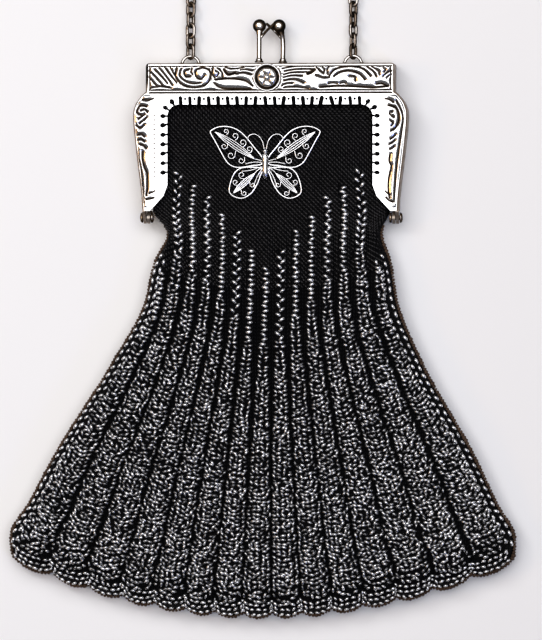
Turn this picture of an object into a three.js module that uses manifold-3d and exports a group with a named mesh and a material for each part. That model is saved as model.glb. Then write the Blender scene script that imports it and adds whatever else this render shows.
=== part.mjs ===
// Beaded knit evening bag on a hinged kiss-lock frame, lying on its back.
// Millimetres: X runs across the bag, Y from the hem up to the handle, Z up from the surface it lies on.
// The origin is the middle of the frame bar's back face.

import * as THREE from "three";
import { mergeVertices } from "three/addons/utils/BufferGeometryUtils.js";
import Module from "manifold-3d";

const wasm = await Module();
wasm.setup();

// Driving dimensions

const GAP = 0.3; // clearance between pieces that touch

const FRAME = {
  barWidth: 87.2,
  barHeight: 10.2,
  sheet: 1.0, // thickness of the stamped metal
  depth: 5.55, // from the plane where the halves meet to the sheet's outer face
  panel: 0.6, // how far the raised panels stand off the sheet
  relief: 0.45, // how far the scrolls stand off the panels
  sunk: 0.4, // how far raised work reaches into what it stands on
  openingWidth: 72,
  openingTop: -9.3,
  openingCorner: 4.2,
  diagonalTop: -37.5, // where the wing's inner edge turns out towards the hinge
  tipInner: 41.4,
  tipY: -46.5,
};
const MID_Z = FRAME.depth + FRAME.panel; // plane where the closed halves meet
const BAR_TOP = FRAME.barHeight / 2;

// Outer edge of the right wing, from the shoulder down to the tip.
const WING_EDGE = [
  { x: 44.4, y: -5.5 },
  { x: 47.2, y: -9.2 },
  { x: 48.1, y: -14 },
  { x: 47.0, y: -26 },
  { x: 45.3, y: -40 },
  { x: 44.9, y: FRAME.tipY },
];
const MOULDING = { outer: 0.8, inner: 3.4 }; // distances in from the wing's outer edge
const SEWING = { pitch: 3.3, inset: 1.9, radius: 0.6, sides: 5, lowest: -36 };
const HINGE = { y: -48.9, ear: 2.1, thickness: 1.0, pin: 0.8, play: 0.25, head: 1.8, headHeight: 0.8 };
const EAR_X = { front: 43.9, back: 42.6 }; // the front half's ears lie outside the back half's
const LOOP = { x: 28.6, radius: 3.0, wire: 0.55, depth: 2.5, sunk: 0.3 };

const CLASP = {
  ball: 2.25,
  ballY: 18.2,
  lean: 1.0, // distance of a ball from the meeting plane
  stem: 0.75,
  stemDepth: 2.4, // distance of a stem from the meeting plane
  bendY: 13.4,
  neck: 1.65,
  foot: 1.5,
  footHeight: 1.4,
  rivet: 0.6,
  rivetLength: 1.6,
  play: 0.25,
  finger: 0.4,
};
const CLASP_ARMS = {
  front: { side: 1, stemX: -4.0, ballX: -4.0, fingerX: 1.1, fingerY: 17.3 },
  back: { side: -1, stemX: 3.9, ballX: 2.7, fingerX: -1.4, fingerY: 17.6 },
};

const ROSETTE = {
  x: -0.9,
  radius: 4.4,
  ring: 0.8,
  petals: 6,
  petal: 0.95,
  petalAt: 2.35,
  boss: 1.1,
  rise: 0.5,
};
// Spiral scrolls on the bar's right half. start: angle of the outer end; turns: positive is anticlockwise.
const SCROLLS = [
  { x: 18.6, y: 0.7, radius: 2.5, start: 250, turns: 1.2 },
  { x: 27.6, y: -0.1, radius: 3.7, start: 200, turns: -1.5 },
];
const SCROLL = { width: 0.75, inner: 0.25, steps: 8 };
// Leaf ribs on the bar's right half, then those that run in from the right wing's moulding.
const LEAVES = [
  { from: [6.0, 0.4], bend: [10.0, 3.8], to: [14.8, 2.8] },
  { from: [6.0, -1.8], bend: [10.6, -0.6], to: [15.4, -2.8] },
  { from: [33.2, -3.2], bend: [36.0, 0.4], to: [35.2, 3.4] },
  { from: [36.6, -3.3], bend: [39.2, 0.4], to: [38.6, 3.4] },
  { from: [39.8, -3.3], bend: [41.8, 0.2], to: [41.6, 3.3] },
  { from: [45.6, -10], bend: [43.6, -9.6], to: [42.0, -12.4] },
  { from: [45.6, -15], bend: [42.6, -15.4], to: [41.0, -19.2] },
  { from: [45.0, -21], bend: [42.2, -21.8], to: [41.0, -25.6] },
  { from: [44.4, -27], bend: [42.0, -28.0], to: [41.2, -31.4] },
];
const LEAF = { width: 0.9, steps: 2 };

const CHAIN = { radius: 1.75, length: 305, sides: 8, steps: 34, lieY: 34, lieZ: 1.85, bendPoints: 14 };

// The skirt is a fan: its rows are arcs about one apex above the frame.
const FAN = {
  apexY: 23.8,
  lean: -0.03,
  leanFrom: 95,
  shift: -1.2, // the middle flute lies a little left of the frame's middle
  flutes: 15,
  scallop: 2.6,
};
// How much wider the side flutes are than the middle one, at two distances below the origin.
const SIDE_FLUTE = { waistY: -70, waist: 0.2, hemY: -150, hem: 0.5 };
const LOBE = [0, 0.82, 1, 0.82]; // height of one flute at the points across it, from a valley
const LINING_LOBE = [0, 0.9]; // the same on the inside
const EDGE_POWER = 6; // how blunt the bag's side edges are
const SPREAD_POWER = 8; // how close to the edges the flutes keep their spread
const SIDE_WALL = 2.0;

// Sections of the bag from the mouth down. y: on the centre line; rise: how much higher the ends are;
// half: half width; mid: height of the middle plane; depth: half thickness in the valleys; wall: knit;
// flute: height of a lobe; spread: half width that the flutes keep to where the outline draws in.
const YOKE_ROWS = [
  { y: -6.4, rise: 0, half: 35.2, mid: MID_Z, depth: 4.25, wall: 1.5, flute: 0 },
  { y: -11, rise: 0, half: 40.6, mid: MID_Z, depth: 4.25, wall: 1.5, flute: 0 },
  { y: -36, rise: 0.3, half: 40.6, mid: MID_Z, depth: 4.25, wall: 1.5, flute: 0 },
  { y: -47.5, rise: 1.5, half: 41.0, mid: MID_Z, depth: 4.25, wall: 1.6, flute: 0.2 },
];
// The same for the skirt, with the fan's radius and half angle in place of y, rise and half width.
// edge: how far to the right a row's side edges lie from where the fan's lean puts them.
const SKIRT_ROWS = [
  { radius: 87.6, angle: 25.2, mid: 6.3, depth: 4.7, wall: 1.8, flute: 1.3, spread: 41.0, edge: 1.3 },
  { radius: 97, angle: 25.0, mid: 6.6, depth: 5.1, wall: 2.0, flute: 1.9, spread: 41.6, edge: 0.6 },
  { radius: 112, angle: 23.2, mid: 7.2, depth: 5.5, wall: 2.0, flute: 2.3, edge: 0.6 },
  { radius: 134, angle: 23.6, mid: 7.9, depth: 5.9, wall: 2.0, flute: 2.7 },
  { radius: 172, angle: 25.2, mid: 8.1, depth: 6.0, wall: 2.0, flute: 2.9 },
  { radius: 192, angle: 25.4, mid: 7.5, depth: 5.4, wall: 2.0, flute: 2.9 },
  { radius: 205, angle: 25.6, mid: 6.3, depth: 4.2, wall: 2.0, flute: 2.8 },
  { radius: 210.5, angle: 24.8, mid: 4.3, depth: 2.2, wall: 2.0, flute: 2.2 },
];

// Butterfly: the right wings and their veins, measured from the middle of its body.
const BUTTERFLY = {
  x: -1.6,
  y: -30.6,
  z: MID_Z + 4.25 + GAP, // just clear of the yoke
  height: 1.0,
  rim: 0.8,
  vein: 0.6,
  body: 1.05,
  bodyLength: 9.6,
};
const UPPER_WING = [
  { x: 0.8, y: 2.4 },
  { x: 4.1, y: 6.4 },
  { x: 8.4, y: 11.2 },
  { x: 13.0, y: 13.4 },
  { x: 17.2, y: 13.1 },
  { x: 19.0, y: 11.3 },
  { x: 16.6, y: 6.4 },
  { x: 13.4, y: 1.0 },
  { x: 8.6, y: -0.7 },
  { x: 0.8, y: 0.2 },
];
const LOWER_WING = [
  { x: 0.7, y: -1.4 },
  { x: 2.6, y: -6.6 },
  { x: 5.4, y: -10.2 },
  { x: 8.6, y: -11.5 },
  { x: 11.6, y: -10.4 },
  { x: 12.5, y: -8.4 },
  { x: 11.6, y: -4.6 },
  { x: 8.4, y: -1.2 },
];
const VEINS = [
  { from: [0.6, 0.8], bend: [8.5, 4.6], to: [18.2, 11.4] },
  { from: [2.4, 1.0], bend: [9.0, 2.6], to: [15.6, 5.2] },
  { from: [9.2, 5.4], bend: [11.6, 8.4], to: [10.9, 12.2] },
  { from: [0.6, -1.6], bend: [5.0, -5.0], to: [11.2, -10.2] },
  { from: [3.4, -3.6], bend: [8.0, -4.4], to: [11.6, -5.8] },
];
const ANTENNA = { from: [0.2, 4.2], bend: [2.2, 13.2], to: [6.4, 9.2] };

const MATERIALS = {
  silver: { color: 0xc9c9cc, metalness: 1.0, roughness: 0.28 },
  knit: { color: 0x1a1a1d, metalness: 0.0, roughness: 0.85 },
};

// Solids and outlines

function solidOf(geometry) {
  const bare = geometry.clone();
  bare.deleteAttribute("normal");
  bare.deleteAttribute("uv");
  const merged = mergeVertices(bare, 1e-4);
  const mesh = new wasm.Mesh({
    numProp: 3,
    vertProperties: new Float32Array(merged.attributes.position.array),
    triVerts: new Uint32Array(merged.index.array),
  });
  return new wasm.Manifold(mesh);
}

function geometryOf(solid) {
  const mesh = solid.getMesh();
  const geometry = new THREE.BufferGeometry();
  geometry.setAttribute("position", new THREE.BufferAttribute(mesh.vertProperties, 3));
  geometry.setIndex(new THREE.BufferAttribute(mesh.triVerts, 1));
  geometry.computeVertexNormals();
  return geometry;
}

function join(geometries) {
  return geometries.map(solidOf).reduce((sum, next) => sum.add(next));
}

function slab(shape, low, high, curveSegments = 6) {
  const depth = high - low;
  return new THREE.ExtrudeGeometry(shape, { depth, bevelEnabled: false, curveSegments }).translate(0, 0, low);
}

function circle(radius, sides, centre = new THREE.Vector2()) {
  const points = [];
  for (let i = 0; i < sides; i++) {
    const angle = (2 * Math.PI * i) / sides;
    points.push(new THREE.Vector2(radius * Math.cos(angle), radius * Math.sin(angle)).add(centre));
  }
  return points;
}

function tube(curve, radius, sides, steps) {
  return new THREE.ExtrudeGeometry(new THREE.Shape(circle(radius, sides)), { steps, extrudePath: curve });
}

function plane(points) {
  return points.map((p) => new THREE.Vector2(p.x, p.y));
}

function flip(points) {
  return points.map((p) => new THREE.Vector2(-p.x, p.y)).reverse();
}

// The line moved sideways to its left, mitred at its corners.
function offset(points, distance, closed = false) {
  const last = points.length - 1;
  return points.map((p, i) => {
    const before = i > 0 ? points[i - 1] : points[closed ? last : 0];
    const after = i < last ? points[i + 1] : points[closed ? 0 : last];
    const arriving = i > 0 || closed ? p.clone().sub(before) : after.clone().sub(p);
    const leaving = i < last || closed ? after.clone().sub(p) : arriving.clone();
    const along = arriving.normalize().add(leaving.normalize()).normalize();
    const stretch = distance / Math.max(0.5, along.dot(leaving));
    return new THREE.Vector2(p.x - along.y * stretch, p.y + along.x * stretch);
  });
}

function strip(points, left, right) {
  return new THREE.Shape([...offset(points, left), ...offset(points, right).reverse()]);
}

function ribbon(points, width) {
  return strip(points, width / 2, -width / 2);
}

function bow({ from, bend, to }, steps) {
  const corners = [from, bend, to].map(([x, y]) => new THREE.Vector2(x, y));
  return new THREE.QuadraticBezierCurve(...corners).getPoints(steps);
}

function piece(name, geometry, material) {
  const mesh = new THREE.Mesh(geometry, new THREE.MeshStandardMaterial(material));
  mesh.name = name;
  return mesh;
}

// Frame halves, drawn facing +Z with Z measured from the plane where they meet

function outerEdge() {
  const right = new THREE.Path();
  right.moveTo(0, BAR_TOP);
  right.lineTo(FRAME.barWidth / 2, BAR_TOP);
  right.lineTo(FRAME.barWidth / 2, -BAR_TOP);
  right.splineThru(plane(WING_EDGE));
  const points = right.getPoints(2).slice(1);
  return [...flip(points), ...points];
}

function openingEdge() {
  const { openingWidth, openingTop, openingCorner } = FRAME;
  const side = openingWidth / 2;
  const right = new THREE.Path();
  right.moveTo(FRAME.tipInner, FRAME.tipY);
  right.lineTo(side, FRAME.diagonalTop);
  right.lineTo(side, openingTop - openingCorner);
  right.absarc(side - openingCorner, openingTop - openingCorner, openingCorner, 0, Math.PI / 2, false);
  const points = right.getPoints(3);
  return [...points, ...flip(points)];
}

function sewingHoles() {
  const top = FRAME.openingTop + SEWING.inset;
  const side = FRAME.openingWidth / 2 + SEWING.inset;
  const corner = FRAME.openingCorner + SEWING.inset;
  const path = new THREE.Path();
  path.moveTo(0, top);
  path.lineTo(side - corner, top);
  path.absarc(side - corner, top - corner, corner, Math.PI / 2, 0, true);
  path.lineTo(side, SEWING.lowest);
  const length = path.getLength();
  const right = [];
  for (let along = SEWING.pitch / 2; along < length; along += SEWING.pitch) {
    right.push(path.getPointAt(along / length));
  }
  return [...right, ...flip(right)];
}

function sheetShape() {
  const shape = new THREE.Shape([...outerEdge(), ...openingEdge()]);
  shape.holes = sewingHoles().map((centre) => new THREE.Path(circle(SEWING.radius, SEWING.sides, centre)));
  return shape;
}

// The tongue that carries the hinge rivet, from the wing's tip to past the meeting plane.
function hingeEar(side, earX) {
  const top = FRAME.depth - FRAME.sheet / 2;
  const tongue = new THREE.Shape();
  tongue.moveTo(FRAME.tipY + HINGE.ear, top);
  tongue.lineTo(HINGE.y + HINGE.ear, 0);
  tongue.absarc(HINGE.y, 0, HINGE.ear, 0, Math.PI, true);
  tongue.lineTo(FRAME.tipY, top);
  tongue.holes = [new THREE.Path(circle(HINGE.pin + HINGE.play, 8, new THREE.Vector2(HINGE.y, 0)))];
  // Drawn in (Y, Z) and stood on edge, so that its thickness runs along X.
  const upright = new THREE.Matrix4().makeBasis(
    new THREE.Vector3(0, 1, 0),
    new THREE.Vector3(0, 0, 1),
    new THREE.Vector3(1, 0, 0),
  );
  const start = side > 0 ? earX : -earX - HINGE.thickness;
  return slab(tongue, start, start + HINGE.thickness, 4).applyMatrix4(upright);
}

function raised(shape, base, height) {
  return slab(shape, base - FRAME.sunk, base + height);
}

function barPanel() {
  const inset = 0.7;
  const right = FRAME.barWidth / 2 - inset;
  const top = BAR_TOP - inset;
  const corners = [[-right, -top], [right, -top], [right, top], [-right, top]];
  return new THREE.Shape(corners.map(([x, y]) => new THREE.Vector2(x, y)));
}

function wingMoulding(side) {
  const edge = new THREE.SplineCurve(plane(WING_EDGE)).getPoints(6);
  return strip(side > 0 ? edge : flip(edge), -MOULDING.outer, -MOULDING.inner);
}

function spiral({ x, y, radius, start, turns }) {
  const points = [];
  for (let i = 0; i <= SCROLL.steps; i++) {
    const along = i / SCROLL.steps;
    const angle = THREE.MathUtils.degToRad(start) + 2 * Math.PI * turns * along;
    const reach = radius * (1 - along * (1 - SCROLL.inner));
    points.push(new THREE.Vector2(x + reach * Math.cos(angle), y + reach * Math.sin(angle)));
  }
  return points;
}

function both(points, width) {
  return [ribbon(points, width), ribbon(flip(points), width)];
}

function rosette(base) {
  const flatten = 0.6;
  const bead = (radius, x, y) =>
    new THREE.SphereGeometry(radius, 6, 4)
      .rotateX(Math.PI / 2)
      .scale(1, 1, flatten)
      .translate(ROSETTE.x + x, y, base + ROSETTE.rise);
  const centre = new THREE.Vector2(ROSETTE.x, 0);
  const ring = new THREE.Shape(circle(ROSETTE.radius, 14, centre));
  const dish = new THREE.Shape(circle(ROSETTE.radius - ROSETTE.ring / 2, 14, centre));
  ring.holes = [new THREE.Path(circle(ROSETTE.radius - ROSETTE.ring, 14, centre))];
  const petals = circle(ROSETTE.petalAt, ROSETTE.petals).map((p) => bead(ROSETTE.petal, p.x, p.y));
  return [
    raised(dish, base, ROSETTE.rise),
    raised(ring, base, 2 * ROSETTE.rise),
    bead(ROSETTE.boss, 0, 0),
    ...petals,
  ];
}

function halfFrame(earX, claspX) {
  const { depth, sheet, panel } = FRAME;
  const shell = join([
    slab(sheetShape(), depth - sheet, depth, 4),
    slab(strip(outerEdge(), 0, -sheet), GAP / 2, depth - sheet / 2),
    hingeEar(1, earX),
    hingeEar(-1, earX),
    raised(barPanel(), depth, panel),
    raised(wingMoulding(1), depth, panel),
    raised(wingMoulding(-1), depth, panel),
  ]);
  const radius = CLASP.rivet + CLASP.play;
  const hole = new THREE.CylinderGeometry(radius, radius, 4 * sheet, 8);
  return shell.subtract(solidOf(hole.translate(claspX, BAR_TOP, CLASP.stemDepth)));
}

function frontFrame() {
  const face = FRAME.depth + FRAME.panel;
  const scrolls = SCROLLS.flatMap((row) => both(spiral(row), SCROLL.width));
  const leaves = LEAVES.flatMap((row) => both(bow(row, LEAF.steps), LEAF.width));
  const relief = [
    ...scrolls.map((shape) => raised(shape, face, FRAME.relief)),
    ...leaves.map((shape) => raised(shape, FRAME.depth, FRAME.panel + FRAME.relief)),
    ...rosette(face),
  ];
  return geometryOf(halfFrame(EAR_X.front, CLASP_ARMS.front.stemX).add(join(relief)));
}

// The back half is turned to face down, so X runs the other way on it.
function backFrame() {
  const loops = [-LOOP.x, LOOP.x].map((x) => {
    const points = [];
    for (let i = 0; i <= 8; i++) {
      const angle = (Math.PI * i) / 8;
      const up = BAR_TOP - LOOP.sunk + LOOP.radius * Math.sin(angle);
      points.push(new THREE.Vector3(x + LOOP.radius * Math.cos(angle), up, LOOP.depth));
    }
    return tube(new THREE.CatmullRomCurve3(points), LOOP.wire, 6, 7);
  });
  return geometryOf(halfFrame(EAR_X.back, -CLASP_ARMS.back.stemX).add(join(loops)));
}

// Clasp arms and hinge rivets

function claspArm({ side, stemX, ballX, fingerX, fingerY }) {
  const stemZ = side * CLASP.stemDepth;
  const seat = BAR_TOP + GAP;
  const bend = new THREE.Vector3(stemX, CLASP.bendY, 0.85 * stemZ);
  const ball = new THREE.Vector3(ballX, CLASP.ballY, side * CLASP.lean);
  const foot = new THREE.Vector3(stemX, seat + CLASP.footHeight / 2, stemZ);
  const neckAxis = ball.clone().sub(bend);
  const upright = new THREE.Vector3(0, 1, 0);
  const turn = new THREE.Quaternion().setFromUnitVectors(upright, neckAxis.clone().normalize());
  const middle = bend.clone().lerp(ball, 0.45);
  const fingerEnd = new THREE.Vector3(fingerX, fingerY, side * 1.5);
  const stem = new THREE.CatmullRomCurve3([foot, bend, ball]);
  const finger = new THREE.LineCurve3(bend, fingerEnd);
  const rivetMiddle = seat - CLASP.rivetLength / 2 + CLASP.footHeight / 4;
  return geometryOf(
    join([
      tube(stem, CLASP.stem, 6, 4),
      new THREE.CylinderGeometry(CLASP.stem, CLASP.foot, CLASP.footHeight, 8).translate(...foot),
      new THREE.CylinderGeometry(CLASP.rivet, CLASP.rivet, CLASP.rivetLength + CLASP.footHeight / 2, 6)
        .translate(stemX, rivetMiddle, stemZ),
      new THREE.CylinderGeometry(CLASP.neck, CLASP.stem, 0.7 * neckAxis.length(), 8)
        .applyQuaternion(turn)
        .translate(...middle),
      new THREE.SphereGeometry(CLASP.ball, 10, 8).translate(...ball),
      tube(finger, CLASP.finger, 5, 1),
    ]),
  );
}

// A headed rivet along X: its heads bear outside both ears.
function hingeRivet(side) {
  const innerSeat = EAR_X.back - GAP;
  const outerSeat = EAR_X.front + HINGE.thickness + GAP;
  const profile = [
    [0, innerSeat - HINGE.headHeight],
    [HINGE.head, innerSeat - HINGE.headHeight],
    [HINGE.head, innerSeat],
    [HINGE.pin, innerSeat],
    [HINGE.pin, outerSeat],
    [HINGE.head, outerSeat],
    [0.7 * HINGE.head, outerSeat + HINGE.headHeight],
    [0, outerSeat + HINGE.headHeight],
  ].map(([radius, along]) => new THREE.Vector2(radius, along));
  return new THREE.LatheGeometry(profile, 8).rotateZ(side > 0 ? -Math.PI / 2 : Math.PI / 2);
}

// Butterfly

function wing(outline, side) {
  const spline = new THREE.CatmullRomCurve3(outline.map((p) => new THREE.Vector3(p.x, p.y, 0)), true);
  const points = plane(spline.getSpacedPoints(Math.round(1.3 * outline.length)).slice(0, -1));
  const loop = side > 0 ? points : flip(points);
  const anticlockwise = THREE.ShapeUtils.isClockWise(loop) ? loop.reverse() : loop;
  const shape = new THREE.Shape(anticlockwise);
  shape.holes = [new THREE.Path(offset(anticlockwise, BUTTERFLY.rim, true))];
  return shape;
}

function butterfly() {
  const flat = [
    ...[UPPER_WING, LOWER_WING].flatMap((outline) => [wing(outline, 1), wing(outline, -1)]),
    ...VEINS.flatMap((vein) => both(bow(vein, 3), BUTTERFLY.vein)),
    ...both(bow(ANTENNA, 5), BUTTERFLY.vein),
  ];
  const body = new THREE.SphereGeometry(BUTTERFLY.body, 8, 6)
    .scale(1, BUTTERFLY.bodyLength / 2 / BUTTERFLY.body, 1)
    .translate(0, 0, BUTTERFLY.body);
  return geometryOf(join([...flat.map((shape) => slab(shape, 0, BUTTERFLY.height)), body]));
}

// Chain

function chain() {
  const start = BAR_TOP - LOOP.sunk + LOOP.radius + LOOP.wire + GAP;
  const run = (CHAIN.length - Math.PI * LOOP.x) / 2;
  const loopZ = MID_Z - LOOP.depth;
  const left = [];
  for (let i = 0; i <= 4; i++) {
    const along = i / 4;
    const z = loopZ + (CHAIN.lieZ - loopZ) * THREE.MathUtils.smoothstep(along, 0, 1);
    left.push(new THREE.Vector3(-LOOP.x, start + along * (CHAIN.lieY - start), z));
  }
  left.push(new THREE.Vector3(-LOOP.x, start + 0.7 * run, CHAIN.lieZ));
  const right = left.map((p) => new THREE.Vector3(-p.x, p.y, p.z)).reverse();
  const bend = [];
  for (let i = 0; i <= CHAIN.bendPoints; i++) {
    const angle = Math.PI - (Math.PI * i) / CHAIN.bendPoints;
    const y = start + run + LOOP.x * Math.sin(angle);
    bend.push(new THREE.Vector3(LOOP.x * Math.cos(angle), y, CHAIN.lieZ));
  }
  const curve = new THREE.CatmullRomCurve3([...left, ...bend, ...right]);
  return tube(curve, CHAIN.radius, CHAIN.sides, CHAIN.steps);
}

// Knit bag

function bagRows() {
  const skirt = SKIRT_ROWS.map(({ radius, angle, ...rest }) => {
    const half = THREE.MathUtils.degToRad(angle);
    return {
      y: FAN.apexY - radius,
      rise: radius * (1 - Math.cos(half)),
      half: radius * Math.sin(half),
      sway: FAN.lean * Math.max(0, radius - FAN.leanFrom),
      ...rest,
    };
  });
  return [...YOKE_ROWS.map((row) => ({ sway: 0, ...row })), ...skirt];
}

// Points across a row from side to side, as a share of the half width; flutes are wider towards the sides.
function stations(lobe, y) {
  const { waistY, waist, hemY, hem } = SIDE_FLUTE;
  const wider = THREE.MathUtils.mapLinear(THREE.MathUtils.clamp(y, hemY, waistY), waistY, hemY, waist, hem);
  const points = [];
  for (let i = 0; i <= FAN.flutes * lobe.length; i++) {
    const across = (2 * i) / (FAN.flutes * lobe.length) - 1;
    const s = (across + (wider * across ** 3) / 3) / (1 + wider / 3);
    points.push({ s, height: lobe[i % lobe.length] });
  }
  return points;
}

function bagGeometry() {
  const rows = bagRows();
  const positions = [];
  const index = [];

  // One closed ring: the front from left to right, then the back from right to left.
  const ring = (row, lobe, { half, depth, floor, scallop }) => {
    const at = stations(lobe, row.y);
    const point = ({ s, height }, side) => {
      const base = depth * Math.sqrt(Math.max(0, 1 - Math.abs(s) ** EDGE_POWER));
      const drawnIn = (row.spread ?? row.half) - row.half;
      const atEdge = s ** SPREAD_POWER;
      const sway = row.sway + FAN.shift * (1 - s * s) + (row.edge ?? 0) * atEdge;
      const x = sway + half * s + drawnIn * s * (1 - atEdge);
      const z = row.mid + side * (base + row.flute * height);
      positions.push(x, row.y + row.rise * s * s - scallop * height, Math.max(z, floor));
      return positions.length / 3 - 1;
    };
    const front = at.map((station) => point(station, 1));
    const back = at.slice(1, -1).map((station) => point(station, -1));
    return [...front, ...back.reverse()];
  };
  const quad = (a, b, c, d) => {
    for (const triangle of [[a, b, c], [a, c, d]]) {
      if (new Set(triangle).size === 3) {
        index.push(...triangle);
      }
    }
  };
  const band = (upper, lower) => {
    upper.forEach((from, i) => {
      const next = (i + 1) % upper.length;
      quad(from, lower[i], lower[next], upper[next]);
    });
  };
  // Closes a ring from its front to its back.
  const seam = (points, outward) => {
    const width = points.length / 2;
    const behind = (i) => points[(points.length - i) % points.length];
    for (let i = 0; i < width; i++) {
      const corners = [points[i], behind(i), behind(i + 1), points[i + 1]];
      quad(...(outward ? corners : corners.reverse()));
    }
  };

  const hem = rows.length - 1;
  const outer = rows.map((row, i) =>
    ring(row, LOBE, { half: row.half, depth: row.depth, floor: 0, scallop: i === hem ? FAN.scallop : 0 }),
  );
  const inner = rows.slice(0, hem).map((row) =>
    ring(row, LINING_LOBE, {
      half: row.half - SIDE_WALL,
      depth: row.depth - row.wall,
      floor: row.wall,
      scallop: 0,
    }),
  );
  for (let i = 0; i < hem; i++) {
    band(outer[i], outer[i + 1]);
  }
  for (let i = 0; i < hem - 1; i++) {
    band(inner[i + 1], inner[i]);
  }
  seam(outer[hem], true);
  seam(inner[hem - 1], false);

  // The mouth's edge: two outer steps meet each inner one.
  inner[0].forEach((near, i) => {
    const far = inner[0][(i + 1) % inner[0].length];
    const [a, b, c] = [0, 1, 2].map((step) => outer[0][(2 * i + step) % outer[0].length]);
    index.push(a, b, near, b, far, near, b, c, far);
  });

  const geometry = new THREE.BufferGeometry();
  geometry.setAttribute("position", new THREE.Float32BufferAttribute(positions, 3));
  geometry.setIndex(index);
  geometry.computeVertexNormals();
  return geometry;
}

// Assembly

const bag = new THREE.Group();
const closedFrame = new THREE.Group();
const back = piece("back_frame", backFrame(), MATERIALS.silver);
back.rotation.y = Math.PI;
const hinges = [
  piece("hinge_left", hingeRivet(-1), MATERIALS.silver),
  piece("hinge_right", hingeRivet(1), MATERIALS.silver),
];
hinges.forEach((hinge) => hinge.position.set(0, HINGE.y, 0));
closedFrame.position.z = MID_Z;
closedFrame.add(
  piece("front_frame", frontFrame(), MATERIALS.silver),
  back,
  piece("clasp_front", claspArm(CLASP_ARMS.front), MATERIALS.silver),
  piece("clasp_back", claspArm(CLASP_ARMS.back), MATERIALS.silver),
  ...hinges,
);
const ornament = piece("butterfly", butterfly(), MATERIALS.silver);
ornament.position.set(BUTTERFLY.x, BUTTERFLY.y, BUTTERFLY.z);
bag.add(
  closedFrame,
  ornament,
  piece("knit_bag", bagGeometry(), MATERIALS.knit),
  piece("chain", chain(), MATERIALS.silver),
);

export default bag;
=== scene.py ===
import math

import bmesh
import bpy
import numpy as np
from mathutils import Matrix, Vector


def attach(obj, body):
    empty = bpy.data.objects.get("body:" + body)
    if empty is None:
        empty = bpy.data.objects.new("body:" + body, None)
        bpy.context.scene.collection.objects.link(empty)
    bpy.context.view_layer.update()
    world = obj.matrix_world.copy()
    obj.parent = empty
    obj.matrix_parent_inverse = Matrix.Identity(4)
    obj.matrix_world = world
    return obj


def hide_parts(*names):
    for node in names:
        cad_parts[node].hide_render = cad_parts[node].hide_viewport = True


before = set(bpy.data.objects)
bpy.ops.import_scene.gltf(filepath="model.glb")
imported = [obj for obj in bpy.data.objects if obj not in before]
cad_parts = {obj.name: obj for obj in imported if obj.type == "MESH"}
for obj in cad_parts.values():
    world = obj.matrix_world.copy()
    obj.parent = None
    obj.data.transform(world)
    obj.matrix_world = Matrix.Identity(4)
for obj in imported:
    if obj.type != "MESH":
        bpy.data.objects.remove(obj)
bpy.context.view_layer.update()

# Everything is drawn in millimetres and scaled to metres as it becomes an object.
mm = 0.001
mergeGap = 1e-4  # mm within which points become one
tiny = 1e-9  # keeps a division from failing
rng = np.random.default_rng(27)
scene = bpy.context.scene


# Camera and light

shot = {
    "pixel": 0.35,  # mm of the bag for each pixel of the picture
    "tall": 640,  # pixels
    "middle": (0.2, -84.7, 9.0),  # point in the middle of the picture, at the height where the scale holds
    "distance": 1600.0,
    "lean": (5.0, 1.5),  # degrees off straight down, to the right and towards the handle
    "sensor": 24.0,
    "clipEnd": 20.0,  # metres
}
lights = [
    {"name": "overheadBox", "at": (0.1, 0.27, 1.35), "size": 1.5, "watts": 20.2, "colour": (1.0, 0.995, 1.0)},
    {"name": "keyBox", "at": (-0.7, 0.6, 1.1), "size": 0.4, "watts": 4.4, "colour": (1.0, 0.98, 0.96)},
    {"name": "warmCard", "at": (-1.0, 0.0, 0.9), "size": 0.3, "watts": 1.3, "colour": (1.0, 0.55, 0.2)},
    {"name": "coolCard", "at": (0.8, -0.7, 0.9), "size": 0.3, "watts": 1.1, "colour": (0.3, 0.4, 1.0)},
]
studio = {"aim": (0.0, -0.08, 0.0), "ambient": (0.95, 0.95, 1.0), "strength": 0.08}


def makeCamera():
    data = bpy.data.cameras.new("overheadCamera")
    data.sensor_fit = "VERTICAL"
    data.sensor_height = shot["sensor"]
    data.lens = data.sensor_height * shot["distance"] / (shot["tall"] * shot["pixel"])
    data.clip_end = shot["clipEnd"]
    camera = bpy.data.objects.new("overheadCamera", data)
    right, up = (math.radians(angle) for angle in shot["lean"])
    turn = Matrix.Rotation(right, 4, "Y") @ Matrix.Rotation(-up, 4, "X")
    place = Matrix.Translation(shot["middle"]) @ turn @ Matrix.Translation((0, 0, shot["distance"]))
    camera.rotation_euler = place.to_euler()
    camera.location = place.translation * mm
    scene.collection.objects.link(camera)
    scene.camera = camera


def makeLights():
    for row in lights:
        data = bpy.data.lights.new(row["name"], "AREA")
        data.shape = "SQUARE"
        data.size = row["size"]
        data.energy = row["watts"]
        data.color = row["colour"]
        lamp = bpy.data.objects.new(row["name"], data)
        lamp.location = row["at"]
        aim = Vector(studio["aim"]) - lamp.location
        lamp.rotation_euler = aim.to_track_quat("-Z", "Y").to_euler()
        scene.collection.objects.link(lamp)
    world = bpy.data.worlds.new("studio")
    world.use_nodes = True
    back = world.node_tree.nodes["Background"]
    back.inputs["Color"].default_value = (*studio["ambient"], 1.0)
    back.inputs["Strength"].default_value = studio["strength"]
    scene.world = world
    scene.view_settings.view_transform = "Standard"
    scene.view_settings.look = "None"


makeCamera()
makeLights()
print("camera and lights set")


# Shader nodes

def feed(tree, source, socket):
    # a number is set on the socket, a node's output is linked to it
    if isinstance(source, (int, float)):
        socket.default_value = source
    else:
        tree.links.new(source, socket)


def mathNode(tree, operation, *values):
    node = tree.nodes.new("ShaderNodeMath")
    node.operation = operation
    for socket, value in zip(node.inputs, values):
        feed(tree, value, socket)
    return node.outputs[0]


def weigh(tree, values, shares):
    # the sum of two values by their shares
    return mathNode(tree, "ADD", *(mathNode(tree, "MULTIPLY", *pair) for pair in zip(values, shares)))


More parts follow.
